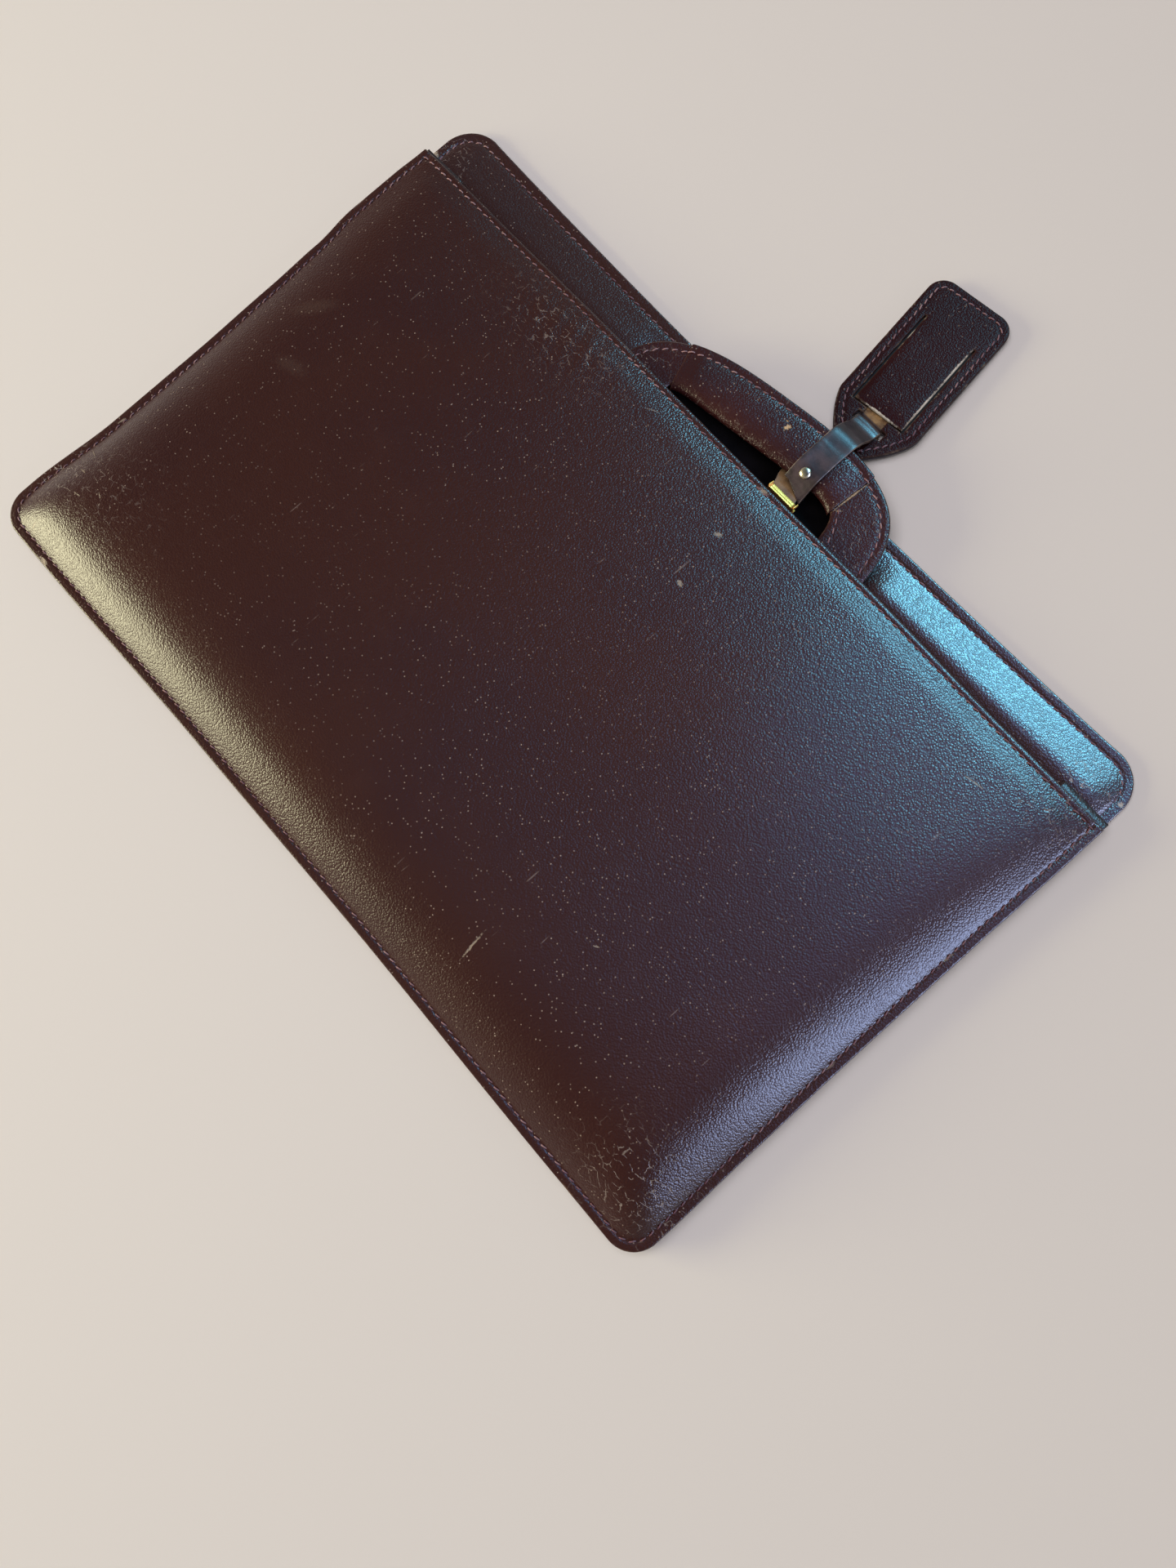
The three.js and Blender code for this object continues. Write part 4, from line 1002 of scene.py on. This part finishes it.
def lining(material):
    """The lining: a black cloth sheet lying in the case, with a tab under the handle's opening. The tab's
    near-black colour paints in the deep shade seen there.
    """
    inset = gusset_depth / 2 + gusset_wall
    left = -half_width + inset + side_pull_in
    right = half_width - inset - side_pull_in
    low = bottom_y + inset + bottom_pull_in
    high = mouth_y - hem_width
    tab_half = opening_half_width + hem_width
    tab_low, tab_high = handle_centre_x - tab_half, handle_centre_x + tab_half
    outline = [(left, low), (right, low), (right, high), (tab_high, high), (tab_high, lining_tab_y),
               (tab_low, lining_tab_y), (tab_low, high), (left, high)]

    def ripples(places, from_edge):
        return 0.25 * billow(*places.T, 30, 9.1) * ease(from_edge / 5) - 0.25

    points, faces, depth = cut_sheet(outline, [], lining_wall, back_wall + gap, 4.5, ripples, 0.4)
    piece = finish_piece("lining_cloth", points, faces, material, "lining", {"from_edge": depth})
    return piece


def arch_points(half, height, count):
    across = half * np.cos(math.pi * np.arange(count + 1) / count)
    return [(float(a), float(h)) for a, h in zip(across, height(across))]


def handle_arch(material):
    """The half-moon handle's body: its two patches show beside the grip, and its legs go down inside."""
    outer = arch_points(handle_half_width, arch_outer, 150)
    seat = opening_height + grip_seat
    inner = arch_points(opening_half_width, lambda across: arch_opening(across, seat), 130)
    foot_outer, foot_inner = (handle_half_width, -handle_leg), (opening_half_width, -handle_leg)
    outline = [foot_outer, *outer, (-handle_half_width, -handle_leg), (-opening_half_width, -handle_leg)]
    outline += inner[::-1] + [foot_inner]
    outer_line = np.array(outer)

    def relief(places, from_edge):
        seam = groove(distance_to(places, [outer_line]), handle_seam)
        return 0.12 * billow(*places.T, 12, 3.3) * ease(from_edge / 3) - seam

    points, faces, depth = cut_sheet(outline, [], handle_wall, -handle_wall / 2, 1.3, relief, 1.1)
    return finish_piece("handle_body", placed(points, handle_frame), faces, material, "handle_arch",
                        {"from_edge": depth, "worn": wear(points, "arch")})


# The grip's half thickness from its fold to its stitched top edge, as shares of its belly.
GRIP_PROFILE = [(0, 0), (0.015, 0.32), (0.06, 0.62), (0.15, 0.88), (0.3, 1.0), (0.55, 0.97), (0.76, 0.86)]
# Its left and right ends, at the fold and at the top edge.
GRIP_FOLD_ENDS = opening_half_width * -0.96, opening_half_width * 0.925
GRIP_TOP_ENDS = handle_half_width * -0.672, handle_half_width * 0.667
# Where the grip's sections have their points, from the fold up, and where its end sections lie.
GRIP_UPS = [
    0, 0.004, 0.012, 0.025, 0.045, 0.075, 0.11, 0.15, 0.2, 0.26, 0.33, 0.4, 0.48, 0.56, 0.63, 0.69, 0.74,
    0.78, 0.82, 0.85, 0.88, 0.91, 0.94, 0.965, 0.985, 1.0]
GRIP_END_CUTS = [0, 0.0012, 0.003, 0.006, 0.01]
grip_flange_half = handle_wall / 2 + gap + grip_wall


def grip_half(up, belly):
    """The grip's half thickness part of the way from the fold to the top edge."""
    rows = [(share, belly * out) for share, out in GRIP_PROFILE]
    places, halves = zip(*rows, (0.86, grip_flange_half), (1.0, grip_flange_half))
    return np.interp(up, places, halves)


def grip_ring(share):
    """The grip's section at a share of its length, and how far that is from its nearer end."""
    at_fold, at_top = lerp(*GRIP_FOLD_ENDS, share), lerp(*GRIP_TOP_ENDS, share)
    fold = Vector((at_fold, float(arch_opening(at_fold, opening_height))))
    top = Vector((at_top, float(arch_outer(at_top))))
    long = (top - fold).length
    nearer = min(share, 1 - share)
    from_end = nearer * 2 * 0.81 * opening_half_width
    belly = max(grip_flange_half, grip_belly / 2 * float(0.8 + 0.2 * ease(nearer / 0.1)))
    front, back = [], []
    for up in GRIP_UPS:
        spot, from_top = fold.lerp(top, up), (1 - up) * long
        half = grip_half(up, belly) - groove(from_top, handle_seam) - round_over(from_top, 0.6)
        half -= round_over(from_end, 0.5) * ease(up / 0.03)
        wave = 0.16 * noise.noise(Vector((spot.x / 13, spot.y / 13, 6.2)))
        wave += 0.08 * math.sin(spot.x * 2 * math.pi / 11) * math.exp(-((up - 0.12) / 0.12) ** 2)
        swell = ease(up / 0.1) * wave * ease(from_top / 5)
        front.append((spot.x, spot.y, max(0, half + swell)))
        back.append((spot.x, spot.y, -max(0, half)))
    seat = grip_wall / long
    lined = [(*fold.lerp(top, seat), 0.0)]
    lined += [(*fold.lerp(top, up), max(handle_wall / 2 + gap, grip_half(up, belly) - grip_wall))
              for up in GRIP_UPS if up > seat]
    return back[1:][::-1] + front + lined[::-1] + [(x, y, -out) for x, y, out in lined[1:]], from_end


def handle_grip(material):
    """The grip: leather wrapped round the arch over a soft filling, its two edges stitched along the top."""
    shares = GRIP_END_CUTS + list(np.linspace(0.016, 0.984, 120)) + [1 - s for s in GRIP_END_CUTS[::-1]]
    rings, from_ends = zip(*[grip_ring(share) for share in shares])
    points, faces = loft(rings)
    depth = np.repeat(np.minimum(from_ends, 20), len(rings[0]))
    piece = finish_piece("grip_leather", placed(points, handle_frame), faces, material, "handle_grip",
                         {"from_edge": depth, "worn": wear(points, "grip")})
    return piece


# The strap's middle line over the grip: from the grip's fold or top, how far past in strap widths, how high
# in half bellies, in half thicknesses of the grip's edge and in clearances.
STRAP_OVER = [("fold", -0.344, 0, 0, 0.38), ("fold", -0.16, 0.5, 0, 0), ("fold", 0.056, 0.88, 0, 0.19),
              ("fold", 0.272, 1, 0, 1), ("fold", 0.592, 1, 0, 1.55), ("fold", 1.118, 1, 0, 1.96),
              ("top", -0.44, 1, 0, 0.47), ("top", 0.048, 0, 1, 1), ("top", 0.36, 0, 1, -1.14)]
# The way back to the clip: from, past, level, half bellies, clearances, and its bow to the left.
STRAP_UNDER = [("back_edge", 0.44, "tag", 0, 0, 0.4), ("back_edge", 0.024, "back", 0, 1.24, 0.6),
               ("lining_edge", 0.4, "back", 0, 1.33, 0.85), ("lining_edge", 0.04, "lining", 0, 1.19, 1),
               ("fold", -0.12, "handle", -1, 0.19, 0.85), ("fold", -0.48, "handle", -0.5, 0.76, 0.4),
               ("fold", -0.88, "handle", 0, 0.95, 0)]


def strap_path():
    """The strap's middle line: over the grip, through the tag's slot, back under the grip to the clip."""
    clearance = strap_thickness / 2 + gap
    belly = grip_belly / 2
    edge = handle_wall / 2 + gap + grip_wall
    tag_middle = tag_rise + tag_thickness / 2
    turn = tag_thickness / 2 + clearance
    dip = math.sin(math.pi * (half_width - strap_x) / case_width) ** back_dip_power
    back_edge = top_y - back_top_dip * dip
    starts = {"fold": fold_y, "top": grip_top_y, "back_edge": back_edge, "lining_edge": lining_tab_y}
    levels = {"tag": tag_middle - turn, "back": back_wall, "lining": lining_top,
              "handle": handle_plane(fold_y)}
    rows = []
    for start, past, bellies, edges, clear in STRAP_OVER:
        height = handle_plane(starts[start]) + bellies * belly + edges * edge + clear * clearance
        rows.append((starts[start] + past * strap_width, height, 0))
    rows.append((slot_y - 0.24 * strap_width, tag_middle + turn + clearance, 0))
    for angle in (90, 45, 0, -45, -90):
        around = math.radians(angle)
        rows.append((slot_y + turn * math.cos(around), tag_middle + turn * math.sin(around), 0))
    rows.append((lerp(slot_y, back_edge, 0.4), levels["tag"], 0.15))
    for start, past, level, bellies, clear, bow in STRAP_UNDER:
        height = levels[level] + bellies * belly + clear * clearance
        rows.append((starts[start] + past * strap_width, height, bow))
    return np.array([(strap_x - strap_bow * bow, y, z) for y, z, bow in rows])


def curve_through(path, share):
    """A place and direction on a smooth curve through a path's points, as the solid's own curve runs."""
    count = len(path)
    at = (count - 1) * share
    first = min(int(at), count - 2)
    t = at - first
    p1, p2 = path[first], path[first + 1]
    p0 = path[first - 1] if first > 0 else 2 * path[0] - path[1]
    p3 = path[first + 2] if first + 2 < count else 2 * path[-1] - path[-2]
    d0, d1, d2 = [max(1e-4, np.sum((b - a) ** 2) ** 0.25) for a, b in ((p0, p1), (p1, p2), (p2, p3))]
    out = ((p1 - p0) / d0 - (p2 - p0) / (d0 + d1) + (p2 - p1) / d1) * d1
    into = ((p2 - p1) / d1 - (p3 - p1) / (d1 + d2) + (p3 - p2) / d2) * d1
    c2 = -3 * p1 + 3 * p2 - 2 * out - into
    c3 = 2 * p1 - 2 * p2 + out + into
    place = p1 + out * t + c2 * t * t + c3 * t ** 3
    way = out + 2 * c2 * t + 3 * c3 * t * t
    return place, way


STRAP_LINE = strap_path()


def strap_station(share):
    """A place on the strap, the way along it and the way off its grain side."""
    place, way = curve_through(STRAP_LINE, share)
    along = Vector((0, way[1], way[2])).normalized()
    return Vector(place), along, Vector((0, -along.z, along.y))


def strap_leather_piece(material):
    """The strap: one flat strip, grain side out, its free end cut on the slant."""
    rings, flesh, depths = [], [], []
    steps = 230
    half, thick = strap_width / 2, strap_thickness / 2
    section = rounded([(-half, -thick), (half, -thick), (half, thick), (-half, thick)], 0.42, 3)
    filled = []
    for a, b in zip(section, section[1:] + section[:1]):
        count = max(1, int((b - a).length / 1.3))
        filled += [a.lerp(b, k / count) for k in range(count)]
    for k in range(steps + 1):
        share = k / steps
        at, along, off = strap_station(share)
        ring = []
        near_end = min(share, 1 - share) * 190
        thin = 1 - float(round_over(near_end, 0.5)) / 0.9
        cup = 0.25 * math.sin(share * 9)
        for p in filled:
            skew = -p.x / half * strap_end_skew * max(0.0, 1 - share / 0.03)
            ripple = 0.1 * noise.noise(Vector((share * 34, p.x / 9, 1.1)))
            bowl = cup * ((p.x / half) ** 2 - 0.4)
            wide = p.x * (1 + 0.012 * noise.noise(Vector((share * 20, 4.0, 0.2))))
            spot = at + off * (p.y * thin + ripple + bowl) + along * skew
            ring.append((spot.x + wide, spot.y, spot.z))
            flesh.append(0.0 if p.y > -thick * 0.5 else 1.0)
            depths.append(half - abs(p.x) if abs(p.y) > thick * 0.7 else 0.0)
        rings.append(ring)
    points, faces = loft(rings)
    return finish_piece("strap_leather", points, faces, material, "tag_strap",
                        {"flesh": flesh, "from_edge": depths})


def stud(material):
    """The stud: a low dome on the strap's face over the grip's fold."""
    steps = 3 * (len(STRAP_LINE) - 1)
    stations = [strap_station(k / steps) for k in range(20)]
    at, _, off = min(stations, key=lambda s: abs(s[0].y - fold_y - stud_from_fold))
    way = off if off.z > 0 else -off
    turn = Vector((0, 1, 0)).rotation_difference(way).to_matrix().to_4x4()
    seat, radius = strap_thickness / 2 + gap, stud_diameter / 2
    post_end = -strap_thickness / 2
    profile = [(stud_post / 2, post_end), (stud_post / 2, seat), (radius - 0.15, seat), (radius, seat + 0.12)]
    for turned in np.linspace(0, math.pi / 2, 10)[:-1]:
        profile.append((radius * math.cos(turned) ** 0.9, seat + 0.3 + (stud_dome - 0.3) * math.sin(turned)))
    around = np.arange(40) * (2 * math.pi / 40)
    points, numbers, faces = skin([[(out * math.cos(a), up, out * math.sin(a)) for a in around]
                                   for out, up in profile])
    for end, ring in ((post_end, numbers[0]), (seat + stud_dome, numbers[-1])):
        faces += [(len(points), ring[k - 1], ring[k]) for k in range(len(ring))]
        points.append((0, end, 0))
    return finish_piece("brass_stud", placed(points, Matrix.Translation(at) @ turn), faces, material,
                        "strap_stud")


def clip(material):
    """The clip: sheet brass folded over the strap's end, a line pressed along it and its ends turned up."""
    at, along, off = strap_station(1.0)
    turn = Matrix((along, off, along.cross(off))).transposed().to_4x4()
    inner = strap_thickness / 2 + gap
    outer = inner + clip_wall
    back = gap + clip_wall
    mouth = back - clip_depth
    middle, line_half = (mouth + back) / 2, 0.35
    half = clip_length / 2
    ear_start = half - clip_wall
    # Sections along the clip: where, whether it is in a turned-up end, and how much its edges are drawn in.
    end = [(half, True, 0.12), (half - 0.08, True, 0), (ear_start + 0.02, True, 0), (ear_start, False, 0)]
    stations = [(-z, ear, shrink) for z, ear, shrink in end]
    stations += [(lerp(-ear_start, ear_start, k / 10), False, 0) for k in range(1, 10)] + end[::-1]
    rings = []
    for z, ear, shrink in stations:
        up = shrink - outer - (clip_ear if ear else 0)
        line = 0.0 if ear else 0.14
        near = mouth + shrink
        far, face = back - shrink, outer - shrink
        section = [(near, up), (middle - line_half, up), (middle, up + line), (middle + line_half, up),
                   (far, up), (far, face), (near, face), (near, inner), (gap, inner), (gap, -inner),
                   (near, -inner)]
        rings.append([(p.x, p.y, z) for p in rounded(section, 0.16, 2)])
    points, faces = loft(rings)
    return finish_piece("brass_clip", placed(points, Matrix.Translation(at) @ turn), faces, material,
                        "strap_clip")


def slot_place(x, y):
    return (x * math.cos(tag_lean) + y * math.sin(tag_lean), -x * math.sin(tag_lean) + y * math.cos(tag_lean))


def tag_outline():
    nose_steps, corner_steps = 22, 14
    half, far = tag_width / 2, tag_length - slot_from_nose
    right = []
    for k in range(nose_steps + 1):
        share = k / nose_steps
        across = lerp(tag_nose_width / 2, half, 1 - (1 - share) ** tag_nose_power)
        right.append((across, share * tag_nose_length - slot_from_nose))
    for k in range(corner_steps + 1):
        turn = math.pi / 2 * k / corner_steps
        right.append((half + tag_corner_radius * (math.cos(turn) - 1),
                      far + tag_corner_radius * (math.sin(turn) - 1)))
    return right + [(-x, y) for x, y in right[::-1]]


def slot_corners():
    half = slot_width / 2
    return {"near_left": slot_place(-half, 0), "near_right": slot_place(half, 0),
            "far_left": slot_place(-half, slot_depth), "far_right": slot_place(half, slot_depth)}


def tag_back(material):
    """The tag's back layer, whose flesh side shows through the window."""
    slot = slot_corners()
    hole = [slot["near_left"], slot["near_right"], slot["far_right"], slot["far_left"]]
    nap = lambda places, from_edge: 0.08 * billow(*places.T, 4, 8.8) - 0.05
    points, faces, depth = cut_sheet(tag_outline(), [hole], tag_wall, 0, 1.6, nap, 0.5)
    x, y = np.array(points)[:, :2].T
    window_end = tongue_from_nose - slot_from_nose
    bare = ease((window_width / 2 + 1.6 - np.abs(x)) / 1.5) * ease((window_end + 1 - y) / 1.5)
    return finish_piece("tag_back_leather", placed(points, tag_frame), faces, material, "tag_back",
                        {"from_edge": depth, "bare": bare})


def tag_front(material):
    """The tag's front: its slot opens into a window, and the window into the cut round the tongue."""
    slot = slot_corners()
    half = tongue_width / 2
    start = tongue_from_nose - slot_from_nose
    end = start + tongue_length
    beside, before = half + tongue_cut, start - tongue_cut
    window = window_width / 2

    def meet(across):
        share = (across - slot["far_left"][0]) / (slot["far_right"][0] - slot["far_left"][0])
        return (across, lerp(slot["far_left"][1], slot["far_right"][1], share))

    hole = [(-beside, end), (-half, end), (-half, start), (half, start), (half, end), (beside, end),
            (beside, before), (window, before), meet(window), slot["far_right"], slot["near_right"],
            slot["near_left"], slot["far_left"], meet(-window), (-window, before), (-beside, before)]
    rim = np.array(tag_outline())

    def relief(places, from_edge):
        x, y = places.T
        on_tongue = ease((half - np.abs(x)) / 3) * ease((y - start) / 6) * ease((end + 6 - y) / 12)
        waves = 0.1 * billow(x, y, 14, 5.5) * ease(from_edge / 3)
        pressed = 0.5 * groove(distance_to(places, [rim]), tag_seam)
        return 0.3 * on_tongue * ease((end - y) / 30) - pressed + waves

    points, faces, depth = cut_sheet(tag_outline(), [hole], tag_wall, tag_wall + gap, 1.1, relief, 0.5)
    return finish_piece("tag_front_leather", placed(points, tag_frame), faces, material, "tag_front",
                        {"from_edge": depth, "worn": wear(points, "tag")})


# Where the stitches run

def seam_path(height):
    """The seam round the sides and bottom, up to just short of the mouth."""
    return [(x + nx * seam_inset, y + ny * seam_inset, height)
            for x, y, nx, ny, _ in edge_stations(60, 14, 80) if y < mouth_y - 1.5]


def up_ways(places, way=(0, 0, 1)):
    return [way] * len(places)


def case_seams(tree, thread):
    """Stitches round the front, along the hem and under the case."""
    lift = -groove_depth + 0.05
    xs = np.linspace(left_edge(mouth_y) + 4.2, right_edge(mouth_y) - 4.2, 200)
    hem_y = mouth_edge(xs) - hem_seam
    hem = [(x, y, z + lift) for x, y, z in zip(xs, hem_y, front_top(xs, hem_y))]
    slopes = (front_top(xs, hem_y + 1) - front_top(xs, hem_y - 1)) / 2
    ways = [tuple(Vector((0, -s, 1)).normalized()) for s in slopes]
    around, under = seam_path(flange_top + lift), seam_path(groove_depth - 0.02)
    stitch_row("front_seam_stitches", [(around, up_ways(around))], tree, thread, 4.0)
    stitch_row("hem_stitches", [(hem, ways)], tree, thread)
    stitch_row("under_seam_stitches", [(under, up_ways(under, (0, 0, -1)))], tree, thread, 4.0)


def back_seams(tree, thread):
    """Stitches round the back's strip above the mouth."""
    reach, high = top_corner_radius - back_seam, top_y - top_corner_radius
    sides = []
    for edge, sign in ((left_edge, -1), (right_edge, 1)):
        up = [lerp(mouth_y - 2, high, k / 11) for k in range(12)]
        rows = [(float(edge(y)) - sign * back_seam, y) for y in up]
        for k in range(1, 13):
            turn = math.pi / 2 * k / 12
            across = float(edge(high)) + sign * (reach * math.cos(turn) - top_corner_radius)
            rows.append((across, high + reach * math.sin(turn)))
        sides.append(rows)
    straight = half_width - top_corner_radius - 3
    along = [(float(x), float(back_upper_edge(x)) - back_seam) for x in np.linspace(-straight, straight, 120)]
    path = [(x, y, back_wall - groove_depth - 0.05) for x, y in sides[0] + along + sides[1][::-1]]
    stitch_row("back_edge_stitches", [(path, up_ways(path))], tree, thread, 3.8)


def inset_curve(points, inset):
    """An open line of places moved square to itself."""
    line = np.array(points, float)
    way = np.gradient(line, axis=0)
    way /= np.linalg.norm(way, axis=1, keepdims=True)
    return line + inset * np.stack([-way[:, 1], way[:, 0]], axis=1)


def handle_seams(tree, thread):
    """Stitches on both faces of the handle: along its top edge, and down beside the grip's right end."""
    outer = inset_curve(arch_points(handle_half_width, arch_outer, 240), handle_seam)
    across = outer[:, 0]
    left_end, right_end = GRIP_TOP_ENDS
    on_grip = outer[(across > left_end + 1.5) & (across < right_end - 1.5)]
    beside = np.array([(44.6, 22.1), (46.3, 18.6), (48, 14.5), (49.2, 10), (49.8, 5), (50.1, -1), (50.2, -6)])
    shares = np.linspace(0, 1, len(beside))
    down = np.stack([np.interp(np.linspace(0, 1, 40), shares, beside[:, k]) for k in (0, 1)], axis=1)
    off = handle_frame.to_3x3() @ Vector((0, 0, 1))
    sunk = groove_depth - 0.05
    rows = []
    for places, height in ((outer[across < left_end - 1], handle_wall / 2 - sunk),
                           (outer[across > right_end + 1], handle_wall / 2 - sunk),
                           (on_grip, grip_flange_half - sunk), (down, handle_wall / 2 + 0.02)):
        for side in (1, -1):
            at = placed([(x, y, side * height) for x, y in places], handle_frame)
            rows.append((at, up_ways(at, tuple(off * side))))
    stitch_row("handle_stitches", rows, tree, thread, 3.9)


def tag_seams(tree, thread):
    """Stitches round the tag's front, from its nose."""
    line = set_in(evened(tag_outline(), 1.5), tag_seam)
    line = np.roll(line, -np.argmin(line[:, 1]), axis=0)
    height = 2 * tag_wall + gap - groove_depth / 2
    at = placed([(x, y, height) for x, y in line], tag_frame)
    off = tuple(tag_frame.to_3x3() @ Vector((0, 0, 1)))
    stitch_row("tag_stitches", [(at, up_ways(at, off))], tree, thread, 3.4)


# Studio

def camera():
    """The photograph's own viewpoint: above the case, turned a little under half a right angle."""
    right = Vector((0.66226, 0.74491, -0.08082))
    down = Vector((0.72882, -0.66545, -0.16125))
    forward = Vector((-0.17390, 0.04788, -0.98360))
    place = Vector((138.45, -48.85, 467.69)) * MM
    made = bpy.data.cameras.new("camera")
    made.sensor_width = 36
    made.lens = 27.04
    made.clip_start = 0.01
    eye = shown("camera", made)
    turn = Matrix((right, -down, -forward)).transposed().to_4x4()
    eye.matrix_world = Matrix.Translation(place) @ turn
    bpy.context.scene.camera = eye


def softbox(name, towards, away, size, power, colour):
    """A soft light in a direction from the case, facing it. Away and size are in metres."""
    made = bpy.data.lights.new(name, "AREA")
    made.shape = "RECTANGLE"
    made.size, made.size_y = size
    made.energy = power
    made.color = linear(colour)[:3]
    lamp = shown(name, made)
    way = Vector(towards).normalized()
    lamp.location = way * away
    lamp.rotation_euler = way.to_track_quat("Z", "Y").to_euler()
    return lamp


def studio():
    """The soft lights, as the photograph's highlights show them: name, direction, size, power and colour, and
    the kind of light that each leaves out."""
    for name, towards, away, size, power, colour, left_out in (
            ("window_cream", (-0.66, -0.76, 0.235), 2.0, (1.12, 0.74), 43, "#f6f1c6", None),
            ("sky_right", (0.92, 0.2, 0.42), 2.0, (0.9, 0.9), 42, "#b6ccff", "visible_diffuse"),
            ("sky_upper", (0.03, 1.12, 1.0), 2.0, (0.62, 0.42), 44, "#7fdcff", "visible_diffuse"),
            ("sky_wide", (0.22, 0.45, 1.0), 2.0, (0.9, 0.8), 7, "#9fb4ff", "visible_diffuse"),
            ("fill", (-0.1, -0.1, 1.0), 2.2, (1.9, 1.9), 42, "#f4f4ff", "visible_glossy")):
        lamp = softbox(name, towards, away, size, power, colour)
        if left_out:
            setattr(lamp, left_out, False)
    world = bpy.data.worlds.new("studio")
    world.use_nodes = True
    world.node_tree.nodes.clear()
    add = partial(add_node, world.node_tree)
    way = add("ShaderNodeTexCoord").outputs["Generated"]
    height = add("ShaderNodeSeparateXYZ", {"Vector": way}).outputs["Z"]
    strength = add("between", height, 0.2, 0.85, 0.34, 0.05)
    glow = add("ShaderNodeBackground", {"Color": linear("#fbf4f0"), "Strength": strength})
    add("ShaderNodeOutputWorld", {"Surface": glow.outputs["Background"]})
    bpy.context.scene.world = world
    bpy.context.scene.view_settings.view_transform = "Standard"


def floor():
    made = bpy.data.meshes.new("floor")
    reach = 6.0
    corners = [(-reach, -reach), (reach, -reach), (reach, reach), (-reach, reach)]
    made.from_pydata([(x, y, GROUND) for x, y in corners], [], [(0, 1, 2, 3)])
    made.materials.append(pale_floor())
    shown("floor", made)


camera()
studio()
floor()

oxblood = ("#371a13", "#321511", "#442822")
case_skin = glazed_calf("glazed_oxblood_calf", *oxblood, 0.29, spots=FRONT_SPOTS)
back_skin = glazed_calf("glazed_back_calf", *oxblood, 0.28, spots=BACK_SPOTS, polish=0.4)
gusset_skin = glazed_calf("gusset_calf", "#331b18", "#281413", "#4a322c", 0.4)
fold_end, top_end = GRIP_FOLD_ENDS[1] + 0.4, GRIP_TOP_ENDS[1] + 0.4
GRIP_END_SPOT = spot_between(handle_frame, (fold_end, float(arch_opening(fold_end, opening_height))),
                             (top_end, float(arch_outer(top_end))), 0.6, 0.8)
handle_skin = glazed_calf("handle_calf", "#3a1916", "#2c1313", "#4c2e2a", 0.3,
                          spots=HANDLE_SPOTS + [GRIP_END_SPOT], polish=0.08, bare="#bd9d72")
tongue_start = tongue_from_nose - slot_from_nose
tongue_side = tongue_width / 2
# Worn lines along the cut round the tongue: from, to, both from the tongue's start, half width and strength.
TAG_SPOTS = [
    spot_between(tag_frame, (x0, tongue_start + y0), (x1, tongue_start + y1), wide, strength)
    for x0, y0, x1, y1, wide, strength in (
        (tongue_side - 0.2, -2, tongue_side - 0.2, 28, 0.85, 1.0),
        (tongue_side - 0.2, 18, tongue_side - 0.2, 50, 0.85, 1.0),
        (-tongue_side + 2, 0.3, tongue_side, 0.3, 0.7, 0.8),
        (-tongue_side, 33, -tongue_side, 40, 0.6, 0.6))
]
tag_skin = glazed_calf("tag_calf", "#2e1212", "#240f0f", "#432624", 0.3, grain=0.7, edge="#8f7f6c",
                       spots=TAG_SPOTS, polish=-0.2, bare="#d8cfc0")
thread = waxed_thread()

back_panel(back_skin)
lining(black_cloth_painted_shade())
gusset(gusset_skin)
front_panel(case_skin)
handle_arch(handle_skin)
handle_grip(handle_skin)
strap_leather_piece(strap_leather())
stud(old_brass("cream_brass", "#efe3c6", "#b3a27e", 0.25))
clip(old_brass("yellow_brass", "#ffb35c", "#d98f3e", 0.4))
tag_back(suede_back())
tag_front(tag_skin)

stitching = seam_tree()
case_seams(stitching, thread)
back_seams(stitching, thread)
handle_seams(stitching, thread)
tag_seams(stitching, thread)
